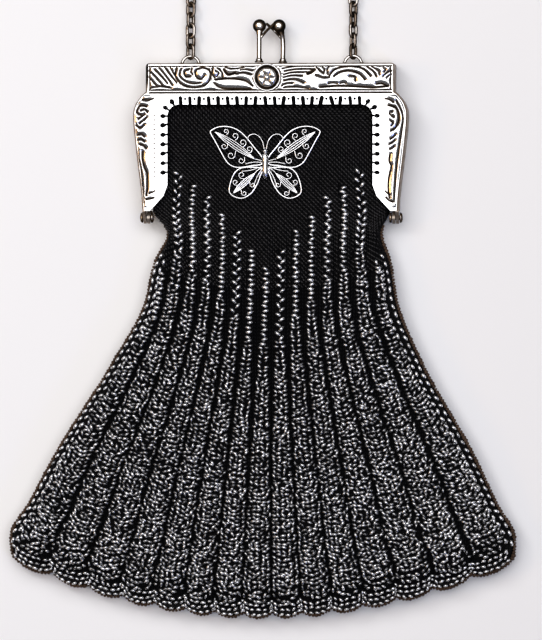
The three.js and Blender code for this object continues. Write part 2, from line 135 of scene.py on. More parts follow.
def noiseNode(tree, vector, scale, detail, rough):
    node = tree.nodes.new("ShaderNodeTexNoise")
    for label, value in (("Vector", vector), ("Scale", scale), ("Detail", detail), ("Roughness", rough)):
        feed(tree, value, node.inputs[label])
    return node.outputs["Fac"]


def rangeNode(tree, value, read, give):
    # read is the span that the value comes in, give the span that it is spread over
    node = tree.nodes.new("ShaderNodeMapRange")
    feed(tree, value, node.inputs["Value"])
    for label, number in zip(("From Min", "From Max", "To Min", "To Max"), (*read, *give)):
        node.inputs[label].default_value = number
    return node.outputs["Result"]


def splitNode(tree, vector):
    node = tree.nodes.new("ShaderNodeSeparateXYZ")
    feed(tree, vector, node.inputs[0])
    return node.outputs


def mixColours(tree, factor, first, second):
    node = tree.nodes.new("ShaderNodeMix")
    node.data_type = "RGBA"
    feed(tree, factor, node.inputs["Factor"])
    # the two colours among the sockets, which share their names with other kinds
    node.inputs[6].default_value = (*first, 1.0)
    node.inputs[7].default_value = (*second, 1.0)
    return node.outputs[2]


def rampNode(tree, factor, stops):
    # stops are (place, colour) rows
    node = tree.nodes.new("ShaderNodeValToRGB")
    feed(tree, factor, node.inputs["Fac"])
    marks = node.color_ramp.elements
    while len(marks) < len(stops):
        marks.new(0.5)
    for mark, (place, colour) in zip(marks, stops):
        mark.position = place
        mark.color = (*colour, 1.0)
    return node.outputs["Color"]


def bumpNode(tree, height, strength, distance):
    node = tree.nodes.new("ShaderNodeBump")
    for label, value in (("Height", height), ("Strength", strength), ("Distance", distance)):
        feed(tree, value, node.inputs[label])
    return node.outputs["Normal"]


def readAttribute(tree, name):
    node = tree.nodes.new("ShaderNodeAttribute")
    node.attribute_name = name
    return node.outputs["Fac"]


def startGroup(name, values, results):
    # a group with a vector and some numbers going in, and numbers coming out
    group = bpy.data.node_groups.new(name, "ShaderNodeTree")
    group.interface.new_socket("Vector", in_out="INPUT", socket_type="NodeSocketVector")
    for label, value in values.items():
        socket = group.interface.new_socket(label, in_out="INPUT", socket_type="NodeSocketFloat")
        socket.default_value = value
    for label in results:
        group.interface.new_socket(label, in_out="OUTPUT", socket_type="NodeSocketFloat")
    return group, group.nodes.new("NodeGroupInput").outputs, group.nodes.new("NodeGroupOutput").inputs


def placeGroup(tree, group, **values):
    node = tree.nodes.new("ShaderNodeGroup")
    node.node_tree = group
    for label, value in values.items():
        feed(tree, value, node.inputs[label])
    return node.outputs


# Shared effects

handled = {
    "cloud": {"detail": 4.0, "rough": 0.6},
    "fine": {"scale": 2600.0, "detail": 2.0, "rough": 0.5},
    "uneven": ((0.35, 0.7), (0.88, 1.12)),  # how the cloud varies the patina of the hollows and the painted shade
    "smear": ((0.55, 0.8), (0.0, 0.2)),  # tarnish on the clean faces
    "gloss": ((0.3, 0.7), (0.13, 0.26)),
    "dull": 0.25,  # how much rougher the darkest tarnish and painted shade are
    "dents": (0.6, 0.4),  # shares of the cloud and of the fine noise
}
strands = {
    "broad": {"scale": 180.0, "detail": 3.0, "rough": 0.6},
    "strand": {"detail": 3.0, "rough": 0.65},
    "shares": (0.5, 0.5),
    "fade": ((0.3, 0.7), (0.0, 1.0)),
}


def makeTarnishAndShade():
    # how dark, how rough and how dented handled metal is, from how deep in the relief a point lies, which
    # brings the patina of the hollows, and from the painted shade on the pieces' sides
    group, start, end = startGroup("tarnishAndShade", {"Recess": 0.0, "Scale": 400.0}, ("Dark", "Rough", "Height"))
    cloud = noiseNode(group, start["Vector"], start["Scale"], **handled["cloud"])
    fine = noiseNode(group, start["Vector"], **handled["fine"])
    hollowAndShade = mathNode(group, "MULTIPLY", rangeNode(group, cloud, *handled["uneven"]), start["Recess"])
    smear = rangeNode(group, cloud, *handled["smear"])
    dark = mathNode(group, "MINIMUM", mathNode(group, "ADD", hollowAndShade, smear), 1.0)
    dull = mathNode(group, "MULTIPLY", dark, handled["dull"])
    feed(group, dark, end["Dark"])
    feed(group, mathNode(group, "ADD", rangeNode(group, fine, *handled["gloss"]), dull), end["Rough"])
    feed(group, weigh(group, (cloud, fine), handled["dents"]), end["Height"])
    return group


def makeFibre():
    # twisted strands and stray fluff of dyed yarn
    group, start, end = startGroup("fibre", {"Scale": 2500.0}, ("Fade", "Height"))
    broad = noiseNode(group, start["Vector"], **strands["broad"])
    strand = noiseNode(group, start["Vector"], start["Scale"], **strands["strand"])
    both = weigh(group, (broad, strand), strands["shares"])
    feed(group, rangeNode(group, both, *strands["fade"]), end["Fade"])
    feed(group, strand, end["Height"])
    return group


tarnishAndShade = makeTarnishAndShade()
fibre = makeFibre()


# Materials; a bump is its strength and its depth in metres

silver = {
    # colour by how dark the tarnish, the patina and the painted shade are
    "stops": [
        (0.0, (0.87, 0.87, 0.885)),
        (0.25, (0.56, 0.53, 0.5)),
        (0.5, (0.2, 0.145, 0.105)),
        (0.75, (0.045, 0.029, 0.018)),
        (1.0, (0.006, 0.005, 0.004)),
    ],
    "scale": 420.0,
    "metal": ((0.3, 0.75), (1.0, 0.0)),  # bare metal gives way to the dark coat of tarnish and painted shade
    "gloss": 0.0,
    "bump": (0.12, 0.0002),
}
# the black yarn of the stitches and threads takes a tint for each leg, a painted light that makes the left
# legs paler than the right, which its fluff dims
yarns = {
    "blackYarn": {"scale": 2600.0, "dark": (0.001, 0.001, 0.0014), "pale": (0.05, 0.048, 0.05),
                  "rough": 0.62, "gloss": 0.05, "bump": (0.5, 0.0003), "fluff": ((0.0, 1.0), (0.55, 1.0))},
    # the hem yarn is dark yarn whose brown also stands in for the shadow line along the hem and the seams, as
    # painted shade
    "hemYarnAndShade": {"scale": 2400.0, "dark": (0.016, 0.009, 0.006), "pale": (0.11, 0.066, 0.042),
                "rough": 0.7, "gloss": 0.15, "bump": (0.5, 0.0003)},
}
ground = {"scale": 2500.0, "dark": (0.0015, 0.0015, 0.002), "pale": (0.009, 0.009, 0.01),
          "rough": 0.7, "gloss": 0.04, "bump": (0.8, 0.0006), "slant": 1.3, "fluff": 0.25}
glass = {"scale": 900.0, "dark": (0.05, 0.05, 0.055), "pale": (0.86, 0.86, 0.88),
         "rough": ((0.1, 0.3), (0.16, 0.32)), "metal": 0.9, "coat": 0.6, "coatRough": 0.06}
# painted light: the floor is painted paler on the left and darker on the right across its span
backdrop = {"left": (0.895, 0.893, 0.906), "right": (0.835, 0.825, 0.83), "span": (-0.1, 0.1),
            "rough": 0.75, "half": 3.0}


def startMaterial(name):
    material = bpy.data.materials.new(name)
    material.use_nodes = True
    tree = material.node_tree
    return material, tree, tree.nodes.new("ShaderNodeTexCoord").outputs["Object"]


def dress(tree, sockets):
    shader = tree.nodes["Principled BSDF"]
    for label, value in sockets.items():
        feed(tree, value, shader.inputs[label])


def makeAgedSilver():
    material, tree, place = startMaterial("agedSilver")
    patinaAndShade = readAttribute(tree, "patinaAndShade")
    wearAndShade = placeGroup(tree, tarnishAndShade, Vector=place, Recess=patinaAndShade, Scale=silver["scale"])
    dress(tree, {
        "Base Color": rampNode(tree, wearAndShade["Dark"], silver["stops"]),
        "Roughness": wearAndShade["Rough"],
        "Metallic": rangeNode(tree, wearAndShade["Dark"], *silver["metal"]),
        "Specular IOR Level": silver["gloss"],
        "Normal": bumpNode(tree, wearAndShade["Height"], *silver["bump"]),
    })
    return material


def makeYarn(name):
    look = yarns[name]
    material, tree, place = startMaterial(name)
    fuzz = placeGroup(tree, fibre, Vector=place, Scale=look["scale"])
    pale = fuzz["Fade"]
    if "fluff" in look:
        # the tint is painted light and shade on the stitches' legs
        pale = mathNode(tree, "MULTIPLY", readAttribute(tree, "tint"), rangeNode(tree, pale, *look["fluff"]))
    dress(tree, {
        "Base Color": mixColours(tree, pale, look["dark"], look["pale"]),
        "Roughness": look["rough"],
        "Specular IOR Level": look["gloss"],
        "Normal": bumpNode(tree, fuzz["Height"], *look["bump"]),
    })
    return material


def makeKnitGround():
    # plain knit behind the beads: V stitches from the bag's own map, one unit to a stitch
    material, tree, place = startMaterial("knitGround")
    stitchMap = tree.nodes.new("ShaderNodeUVMap")
    stitchMap.uv_map = "stitches"
    spot = splitNode(tree, stitchMap.outputs["UV"])
    fromMiddle = mathNode(tree, "SUBTRACT", mathNode(tree, "FRACT", spot["X"]), 0.5)
    aside = mathNode(tree, "ABSOLUTE", fromMiddle)
    slant = mathNode(tree, "MULTIPLY", aside, ground["slant"])
    row = mathNode(tree, "FRACT", mathNode(tree, "ADD", spot["Y"], slant))
    ridge = mathNode(tree, "SINE", mathNode(tree, "MULTIPLY", row, math.pi))
    leg = mathNode(tree, "SINE", mathNode(tree, "MULTIPLY", aside, 2.0 * math.pi))
    relief = mathNode(tree, "MULTIPLY", ridge, leg)
    fuzz = placeGroup(tree, fibre, Vector=place, Scale=ground["scale"])
    fluff = mathNode(tree, "MULTIPLY", fuzz["Height"], ground["fluff"])
    # painted light and shade: the stitches' raised ridges are painted paler and the gaps between them darker
    pale = mathNode(tree, "MULTIPLY", relief, fuzz["Fade"])
    dress(tree, {
        "Base Color": mixColours(tree, pale, ground["dark"], ground["pale"]),
        "Roughness": ground["rough"],
        "Specular IOR Level": ground["gloss"],
        "Normal": bumpNode(tree, mathNode(tree, "ADD", relief, fluff), *ground["bump"]),
    })
    return material


def makeGreyBead():
    material, tree, place = startMaterial("greyBead")
    wearAndShade = placeGroup(tree, tarnishAndShade, Vector=place, Scale=glass["scale"])
    dress(tree, {
        # the tint holds each bead's own paleness times the painted shade on the flutes' flanks
        "Base Color": mixColours(tree, readAttribute(tree, "tint"), glass["dark"], glass["pale"]),
        "Roughness": rangeNode(tree, wearAndShade["Rough"], *glass["rough"]),
        "Metallic": glass["metal"],
        "Coat Weight": glass["coat"],
        "Coat Roughness": glass["coatRough"],
    })
    return material


def makePaleFloor():
    material, tree, place = startMaterial("paleFloor")
    # painted light, paler on the left and darker on the right
    fade = rangeNode(tree, splitNode(tree, place)["X"], backdrop["span"], (0.0, 1.0))
    dress(tree, {
        "Base Color": mixColours(tree, fade, backdrop["left"], backdrop["right"]),
        "Roughness": backdrop["rough"],
    })
    return material


agedSilver = makeAgedSilver()
blackYarn, hemYarnAndShade = (makeYarn(name) for name in yarns)
knitGround = makeKnitGround()
greyBead = makeGreyBead()
print("materials made")


# Tools for building pieces

def addPiece(name, source, material, nodes=(), place=Matrix()):
    # source is a bmesh in millimetres, which goes to its place, or a mesh that is already in metres
    if isinstance(source, bmesh.types.BMesh):
        mesh = bpy.data.meshes.new(name)
        bmesh.ops.transform(source, matrix=place, verts=source.verts)
        bmesh.ops.scale(source, vec=(mm, mm, mm), verts=source.verts)
        source.to_mesh(mesh)
        source.free()
    else:
        mesh = source
    mesh.polygons.foreach_set("use_smooth", [True] * len(mesh.polygons))
    piece = bpy.data.objects.new(name, mesh)
    scene.collection.objects.link(piece)
    mesh.materials.append(material)
    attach(piece, "root")
    if nodes:
        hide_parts(*nodes)
    return piece


def startMetal():
    bm = bmesh.new()
    return bm, bm.verts.layers.float.new("patinaAndShade")


def addMetal(name, source, nodes=(), place=Matrix(), sharp=None):
    # sharp: degrees from which an edge isn't smoothed over
    piece = addPiece(name, source, agedSilver, nodes, place)
    if sharp:
        piece.data.set_sharp_from_angle(angle=math.radians(sharp))


def unit(rows):
    return rows / (np.linalg.norm(rows, axis=-1, keepdims=True) + tiny)


def smoothLine(points, steps, closed=False):
    # a soft line through a few points
    rows = np.array(points, float)
    count = len(rows)
    line = []
    for i in range(count if closed else count - 1):
        if closed:
            a, b, c, d = (rows[(i + k) % count] for k in (-1, 0, 1, 2))
        else:
            a, b, c, d = (rows[min(max(i + k, 0), count - 1)] for k in (-1, 0, 1, 2))
        for t in np.arange(steps) / steps:
            line.append(b + 0.5 * t * (c - a + t * (2 * a - 5 * b + 4 * c - d + t * (3 * (b - c) + d - a))))
    if not closed:
        line.append(rows[-1])
    return np.array(line)


def arc(x, y, radius, start, stop, steps):
    turn = np.radians(np.linspace(start, stop, steps + 1))
    return np.stack([x + radius * np.cos(turn), y + radius * np.sin(turn)], axis=1)


def lengthAlong(line):
    # how far along a line each of its points lies
    steps = np.linalg.norm(np.diff(line, axis=0), axis=1)
    return np.concatenate([[0.0], np.cumsum(steps)])


def pointsAlong(line, spots):
    reach = lengthAlong(line)
    return np.column_stack([np.interp(spots, reach, column) for column in line.T])


def addBall(bm, radius, place, around, rings):
    bmesh.ops.create_uvsphere(bm, u_segments=around, v_segments=rings, radius=radius, matrix=place)


def addGrid(bm, wide, tall):
    # a grid, and how far across and how far up it each point lies, from 0 to 1
    made = bmesh.ops.create_grid(bm, x_segments=wide, y_segments=tall, size=0.5)["verts"]
    spots = np.array([vert.co for vert in made]) + 0.5
    return made, spots[:, 0], spots[:, 1]


def onlyVerts(geometry):
    return [part for part in geometry if isinstance(part, bmesh.types.BMVert)]


def thicken(bm, faces, offset):
    grown = bmesh.ops.extrude_face_region(bm, geom=faces, use_keep_orig=True)["geom"]
    bmesh.ops.translate(bm, vec=offset, verts=onlyVerts(grown))


def sweep(bm, line, radius, sides, closed=False):
    # a round bar along a line, extruded ring by ring
    points = [Vector(p) for p in line]
    count = len(points)
    radii = radius if hasattr(radius, "__len__") else [radius] * count
    frames = []
    normal = None
    for i, point in enumerate(points):
        before = points[i - 1] if i or closed else point
        after = points[(i + 1) % count] if i < count - 1 or closed else point
        tangent = (after - before).normalized()
        if normal is None:
            normal = Vector((0, 0, 1)) if abs(tangent.z) < 0.9 else Vector((1, 0, 0))
        normal = (normal - tangent * normal.dot(tangent)).normalized()
        spin = Matrix((tangent.cross(normal), normal, tangent)).transposed().to_4x4()
        grow = Matrix.Diagonal((radii[i], radii[i], 1.0, 1.0))
        frames.append(Matrix.Translation(point) @ spin @ grow)
    ring = bmesh.ops.create_circle(bm, cap_ends=False, segments=sides, radius=1.0, matrix=frames[0])["verts"]
    firstEdges = list({e for v in ring for e in v.link_edges})
    edges = firstEdges
    for old, new in zip(frames, frames[1:]):
        grown = bmesh.ops.extrude_edge_only(bm, edges=edges)["geom"]
        verts = onlyVerts(grown)
        bmesh.ops.transform(bm, matrix=new @ old.inverted(), verts=verts)
        fresh = set(verts)
        edges = [g for g in grown if isinstance(g, bmesh.types.BMEdge) and set(g.verts) <= fresh]
    if closed:
        bmesh.ops.bridge_loops(bm, edges=firstEdges + edges)
    else:
        bmesh.ops.holes_fill(bm, edges=firstEdges, sides=0)
        bmesh.ops.holes_fill(bm, edges=edges, sides=0)


def lathe(bm, profile, steps, place=Matrix()):
    # turned work: profile rows are (radius, height)
    before = set(bm.verts)
    start = [bm.verts.new((radius, 0.0, height)) for radius, height in profile]
    edges = [bm.edges.new(pair) for pair in zip(start, start[1:])]
    bmesh.ops.spin(bm, geom=start + edges, cent=(0, 0, 0), axis=(0, 0, 1), angle=2 * math.pi, steps=steps,
                   use_merge=True)
    made = [v for v in bm.verts if v not in before]
    bmesh.ops.remove_doubles(bm, verts=made, dist=mergeGap)
    made = [v for v in bm.verts if v not in before]
    bmesh.ops.transform(bm, matrix=place, verts=made)


def tidyMesh(bm):
    bmesh.ops.remove_doubles(bm, verts=bm.verts, dist=mergeGap)
    bmesh.ops.recalc_face_normals(bm, faces=bm.faces)


# painted shade on the sides of small metal pieces: how far a face points up or down where it is fully lit,
# and where it is all dark
sideShading = {"fullyLit": 0.97, "black": 0.8}


def sideShade(upness):
    # painted shade that is gone where a piece faces up or down and full where it faces sideways
    return np.clip((sideShading["fullyLit"] - np.abs(upness)) / (sideShading["fullyLit"] - sideShading["black"]), 0.0, 1.0)


def darkenSides(bm, most):
    # painted shade: darker where a piece faces sideways, up to the given share
    patinaAndShade = bm.verts.layers.float.new("patinaAndShade")
    bm.normal_update()
    for vert in bm.verts:
        vert[patinaAndShade] = most * sideShade(vert.normal.z)
    return patinaAndShade


def smallShape(around, rings, size):
    # a little ball drawn out to a bead, a leg of a stitch or a tuft
    proto = bmesh.new()
    bmesh.ops.create_uvsphere(proto, u_segments=around, v_segments=rings, radius=1.0)
    bmesh.ops.scale(proto, vec=size, verts=proto.verts)
    return proto


def turnedFrames(places, across, down, out):
    # columns of a placed shape's matrix: its X, Y and Z directions and its place
    return np.stack([across, down, out, places], axis=2)


def joinCopies(name, proto, frames, label=None, values=None):
    # one mesh from many placed copies of a small shape; frames are (count, 3, 4) in millimetres
    proto.verts.index_update()
    shape = np.array([v.co for v in proto.verts])
    corners = np.concatenate([[v.index for v in f.verts] for f in proto.faces])
    count = len(frames)
    coords = np.einsum("nij,vj->nvi", frames[:, :, :3], shape) + frames[:, None, :, 3]
    mesh = bpy.data.meshes.new(name)
    mesh.vertices.add(count * len(shape))
    mesh.vertices.foreach_set("co", (coords * mm).astype(np.float32).ravel())
    corners = (corners[None, :] + np.arange(count)[:, None] * len(shape)).ravel()
    mesh.loops.add(len(corners))
    mesh.loops.foreach_set("vertex_index", corners.astype(np.int32))
    sizes = np.tile([len(f.verts) for f in proto.faces], count)
    mesh.polygons.add(len(sizes))
    mesh.polygons.foreach_set("loop_start", np.concatenate([[0], np.cumsum(sizes)[:-1]]).astype(np.int32))
    mesh.update(calc_edges=True)
    if label:
        # one value for each copy, or a row of values for its points
        spread = np.broadcast_to(np.reshape(values, (count, -1)), (count, len(shape)))
        layer = mesh.attributes.new(label, "FLOAT", "POINT")
        layer.data.foreach_set("value", spread.astype(np.float32).ravel())
    proto.free()
    return mesh


# Knit bag

bag = {
    "apexY": 23.8,
    "flutes": 15,
    "sideFlute": (0.2, 0.5),  # how much wider the side flutes are, at the waist and at the hem
    "sideFluteDown": (70.0, 150.0),  # how far down the bag that is
    "shift": -1.2,  # the middle flute lies a little left of the frame's middle
    "inset": 0.6,  # the ground lies this much inside the solid, which the beads fill
    "lowest": 0.7,  # mm over the floor
    "blunt": 6,  # how bluntly the bag's section ends at its sides
    "spreadPower": 8,  # how close to the edges the flutes keep their spread at the waist
    "lobe": 0.57,
    "scallop": 2.6,
    "scallopFrom": 178.0,
    "lean": -0.03,
    "leanFrom": 95.0,
    "columns": 10,  # faces across one flute
    "rows": 96,
    "fine": 600,  # steps that the rows below are smoothed to
    "probe": (0.04, 0.2),  # steps over which the surface's directions across and down are read
    "stitch": (1.5, 1.3),  # mm to a stitch of the ground's map
    "wall": 1.2,
}
# y: on the centre line; rise: how much higher the ends are; half: half width; mid: height of the middle
# plane; depth: half thickness in the valleys; flute: height of a lobe; spread: half width the flutes keep to
# at the waist; edge: how far to the right a row's side edges lie from where the fan's lean puts them
yokeRows = [
    {"y": -6.4, "rise": 0, "half": 35.2, "mid": 6.15, "depth": 4.25, "flute": 0},
    {"y": -11, "rise": 0, "half": 40.6, "mid": 6.15, "depth": 4.25, "flute": 0},
    {"y": -36, "rise": 0.3, "half": 40.6, "mid": 6.15, "depth": 4.25, "flute": 0},
    {"y": -47.5, "rise": 1.5, "half": 41.7, "mid": 6.15, "depth": 4.25, "flute": 0.2},
]
skirtRows = [
    {"radius": 87.6, "angle": 25.2, "mid": 6.3, "depth": 4.7, "flute": 1.3, "spread": 41.0, "edge": 1.3},
    {"radius": 97, "angle": 25.0, "mid": 6.6, "depth": 5.1, "flute": 1.9, "spread": 41.6, "edge": 0.6},
    {"radius": 112, "angle": 23.2, "mid": 7.2, "depth": 5.5, "flute": 2.3, "edge": 0.6},
    {"radius": 134, "angle": 23.6, "mid": 7.9, "depth": 5.9, "flute": 2.7},
    {"radius": 172, "angle": 25.2, "mid": 8.1, "depth": 6.0, "flute": 2.9},
    {"radius": 192, "angle": 25.4, "mid": 7.5, "depth": 5.4, "flute": 2.9},
    {"radius": 205, "angle": 25.6, "mid": 6.3, "depth": 4.2, "flute": 2.8},
    {"radius": 210.5, "angle": 24.8, "mid": 4.3, "depth": 2.2, "flute": 2.2},
]


def bagColumns():
    rows = list(yokeRows)
    for row in skirtRows:
        half = math.radians(row["angle"])
        reach = row["radius"]
        rows.append({
            **row,
            "y": bag["apexY"] - reach,
            "rise": reach * (1 - math.cos(half)),
            "half": reach * math.sin(half),
            "sway": bag["lean"] * max(0.0, reach - bag["leanFrom"]),
        })
    down = np.array([-row["y"] for row in rows])
    fine = np.linspace(down[0], down[-1], bag["fine"])
    step = np.clip(np.searchsorted(down, fine) - 1, 0, len(down) - 2)
    span = down[step + 1] - down[step]
    t = (fine - down[step]) / span
    columns = {"down": fine}
    for key in ("rise", "half", "mid", "depth", "flute", "spread", "sway", "edge"):
        values = np.array([row.get(key, row["half"] if key == "spread" else 0.0) for row in rows], float)
        slope = np.gradient(values, down)
        a, b = values[step], values[step + 1]
        m, n = slope[step] * span, slope[step + 1] * span
        columns[key] = a + t * (m + t * (3 * (b - a) - 2 * m - n + t * (2 * (a - b) + m + n)))
    return columns


bagTable = bagColumns()
topDown, hemDown = bagTable["down"][[0, -1]]


def bagValue(key, down):
    return np.interp(down, bagTable["down"], bagTable[key])


def acrossShare(flute, down):
    # flute 0 to 15 from the left edge to the right one, as a share of the half width
    c = (flute - bag["flutes"] / 2) / (bag["flutes"] / 2)
    k = np.interp(down, bag["sideFluteDown"], bag["sideFlute"])
    return (c + k * c ** 3 / 3) / (1 + k / 3)


def bagPoint(flute, down, side):
    flute = np.asarray(flute, float)
    down = np.asarray(down, float)
    s = np.clip(acrossShare(flute, down), -1.0, 1.0)
    lobe = np.abs(np.sin(np.pi * flute)) ** bag["lobe"]
    atEdge = s ** bag["spreadPower"]
    sway = bagValue("sway", down) + bag["shift"] * (1 - s * s) + bagValue("edge", down) * atEdge
    half = bagValue("half", down)
    drawnIn = bagValue("spread", down) - half
    x = sway + half * s + drawnIn * s * (1 - atEdge)
    drop = bag["scallop"] * np.clip((down - bag["scallopFrom"]) / (hemDown - bag["scallopFrom"]), 0, 1)
    y = -down + bagValue("rise", down) * s * s - drop * lobe
    body = (bagValue("depth", down) - bag["inset"]) * np.sqrt(np.maximum(0.0, 1 - np.abs(s) ** bag["blunt"]))
    z = bagValue("mid", down) + side * (body + bagValue("flute", down) * lobe)
    return np.stack([x, y, np.maximum(z, bag["lowest"])], axis=-1)


def bagFrames(flute, down, side):
    # place, across, down and outward directions on the bag's surface
    aside, below = bag["probe"]
    across = unit(bagPoint(flute + aside, down, side) - bagPoint(flute - aside, down, side))
    along = unit(bagPoint(flute, down + below, side) - bagPoint(flute, down - below, side))
    out = unit(np.cross(along, across) * side)
    return bagPoint(flute, down, side), np.cross(out, along) * side, along, out


def makeBagShell():
    # one sheet round the front and the back, closed along the hem
    bm = bmesh.new()
    stitchMap = bm.loops.layers.uv.new("stitches")
    made, u, v = addGrid(bm, 2 * bag["flutes"] * bag["columns"], bag["rows"])
    turn = 2 * u
    down = (1.0 - v) * (hemDown - topDown) + topDown
    side = np.where(turn <= 1.0, 1.0, -1.0)
    flute = np.where(turn <= 1.0, turn, 2.0 - turn) * bag["flutes"]
    place = bagPoint(flute, down, side)
    place[down > hemDown - 1e-3, 2] = bagValue("mid", hemDown)
    for vert, point in zip(made, place):
        vert.co = point
    wide, tall = bag["stitch"]
    for face in bm.faces:
        for loop in face.loops:
            loop[stitchMap].uv = (loop.vert.co.x / wide, loop.vert.co.y / tall)
    tidyMesh(bm)
    piece = addPiece("knitGround", bm, knitGround, ("knit_bag",))
    wall = piece.modifiers.new("wall", "SOLIDIFY")
    wall.thickness = bag["wall"] * mm
    wall.offset = -1.0


makeBagShell()
print("knit ground made")


# Seed beads

beads = {
    "size": (1.1, 0.6, 0.5),  # half length across the flute, half height and half width
    "faces": (6, 4),  # round a bead and along it
    "pitchDown": (1.64, 1.42),  # where a flute is one bead wide, and where its rows are full
    "pitchUneven": 0.05,
    "pitchAcross": 1.7,
    "fullRow": 5,
    "probes": 25,  # points that a row is measured over
    "sunk": 0.3,  # how far a bead's middle stands off the ground
    "hemGap": (5.2, 0.6),  # from the last row to the hem, and how much that varies
    "hemStop": 0.8,  # no bead is nearer to the hem
    "highest": 29.0,
    "lowest": 1.35,  # mm over the floor
    "cover": (0.52, 0.9),  # share of a flute that beads cover, where they start to widen and in the end
    "reach": 30.0,  # mm over which they widen
    "edgeFlute": (-0.065, 0.85),  # how near the edge the side flutes' beads lie, and their share of the cover
    "bow": 1.4,  # how much lower the middle of a full row hangs than its ends
    "hang": 0.4,  # share of the bow that is below the row
    "jitter": (0.16, 0.18),  # down and across
    "lean": 0.45,  # how unevenly beads lie
    "looser": 0.4,  # how much more unevenly in full rows
    "calm": 0.35,  # and how much of it is left in single beads
    "upright": 2.0,  # how much single beads and strings turn their tops up
    "tint": ((5.0, 1.2), (1.35, 1.2)),  # paleness of single beads and strings, and of the rest: beta shares
    "uneven": 0.07,  # how much the rows' widths differ
    "zigzag": {-6: 0.8, -4: 0.4, -2: 0.7, 1: 0.6, 4: 0.4, 6: 0.8},  # how far some flutes' single beads swing
    "wander": 0.22,  # and those of the others
    "flank": (0.5, 0.95, 0.1),  # from where to where beads are painted paler as they face up, a painted shade on the flutes' flanks, and the least share
    "single": 1.2,  # how much larger single beads are
    "sizeUneven": 0.06,
    # where each flute's beads begin and where they start to widen, from the middle flute outwards
    "top": (66.5, 60.0, 53.2, 47.6, 41.6, 37.5, 32.2, 66.0),
    "widen": (94.0, 91.0, 84.0, 77.0, 72.0, 68.0, 60.0, 68.0),
}
# strings of larger beads: two along each side seam and three along the hem
strings = {
    "seamInset": (1.1, 2.65),  # mm from the bag's edge
    "seamFrom": 70.5,
    "seamStop": 3.0,  # mm above the hem
    "seamPitch": 3.0,
    "seamLean": 1.35,  # seam beads lie nearly along the seam
    "seamSize": 1.08,
    "seamLoose": 0.3,
    "clear": 3.0,  # mm from the edge to the first bead of the full rows
    "hemGaps": (0.95, 2.35, 3.75),
    "hemEnd": 0.1,  # of a flute, at each side
    "hemPitch": 2.1,
    "hemSize": 0.9,
    "hemLoose": 0.7,
    "probes": 1500,
}


def beadRow(flute, down, side):
    # flute coordinates of the beads in one row of one flute
    off = flute - bag["flutes"] // 2
    middle = flute + 0.5
    share = 1.0
    if abs(off) == bag["flutes"] // 2:
        shift, share = beads["edgeFlute"]
        middle += np.sign(off) * shift
    y = -bagPoint(middle, down, side)[1]
    if y < beads["top"][abs(off)]:
        return []
    past = y - beads["widen"][abs(off)]
    if past < 0:
        return [middle]
    first, last = beads["cover"]
    cover = first + (last - first) * (1.0 - math.exp(-past / beads["reach"]))
    grid = middle + share * cover * np.linspace(-0.5, 0.5, beads["probes"])
    reach = lengthAlong(bagPoint(grid, down, side))
    count = max(2, round(reach[-1] / beads["pitchAcross"]))
    return list(np.interp((np.arange(count) + 0.5) / count * reach[-1], reach, grid))


def beadPlaces(side):
    # flute, distance down, lean, size and looseness of every bead
    rows = []
    single, full = beads["pitchDown"]
    hemGap, gapUneven = beads["hemGap"]
    for flute in range(bag["flutes"]):
        swing = beads["zigzag"].get(flute - bag["flutes"] // 2, beads["wander"])
        down = hemDown - hemGap - rng.uniform(0.0, gapUneven)
        middle = flute + 0.5
        hand = 1.0
        while down > beads["highest"]:
            row = beadRow(flute, down, side)
            hand = -hand
            if flute in (0, bag["flutes"] - 1):
                edgeX = bagPoint(float(flute and bag["flutes"]), down, side)[0]
                row = [spot for spot in row if abs(bagPoint(spot, down, side)[0] - edgeX) > strings["clear"]]
            fill = min(1.0, max(0, len(row) - 1) / (beads["fullRow"] - 1))
            if len(row) == 1:
                aside = hand * swing / (2 * bagValue("half", down) / bag["flutes"])
                rows.append((row[0] + aside, down, hand * swing, beads["single"], beads["calm"]))
            bow = beads["bow"] * fill
            loose = 1.0 + beads["looser"] * fill
            row = [middle + (spot - middle) * rng.normal(1.0, beads["uneven"]) for spot in row]
            for t, spot in zip(np.linspace(-1.0, 1.0, len(row)), row if len(row) > 1 else ()):
                slope = 4 * bow * t / (len(row) * beads["pitchAcross"])
                rows.append((spot, down + bow * (beads["hang"] - t * t), math.atan(slope), 1.0, loose))
            down -= (single + (full - single) * fill) * rng.normal(1.0, beads["pitchUneven"])
    return np.array(rows)


def stringPlaces(side):
    rows = []
    step = strings["seamPitch"]
    for number, inset in enumerate(strings["seamInset"]):
        for down in np.arange(strings["seamFrom"] + number * step / 2, hemDown - strings["seamStop"], step):
            flute = inset / (bagPoint(0.5, down, side)[0] - bagPoint(0.0, down, side)[0]) * 0.5
            for spot, lean in ((flute, strings["seamLean"]), (bag["flutes"] - flute, -strings["seamLean"])):
                rows.append((spot, down, lean, strings["seamSize"], strings["seamLoose"]))
    for number, gap in enumerate(strings["hemGaps"]):
        grid = np.linspace(strings["hemEnd"], bag["flutes"] - strings["hemEnd"], strings["probes"])
        line = bagPoint(grid, hemDown - gap, side)
        steps = np.diff(line, axis=0)
        reach = lengthAlong(line)
        spots = np.arange(number % 2 * strings["hemPitch"] / 2, reach[-1], strings["hemPitch"])
        slope = np.interp(spots, reach[1:], -steps[:, 1] / steps[:, 0])
        for flute, lean in zip(np.interp(spots, reach, grid), np.arctan(slope)):
            rows.append((flute, hemDown - gap, -lean, strings["hemSize"], strings["hemLoose"]))
    return np.array(rows)


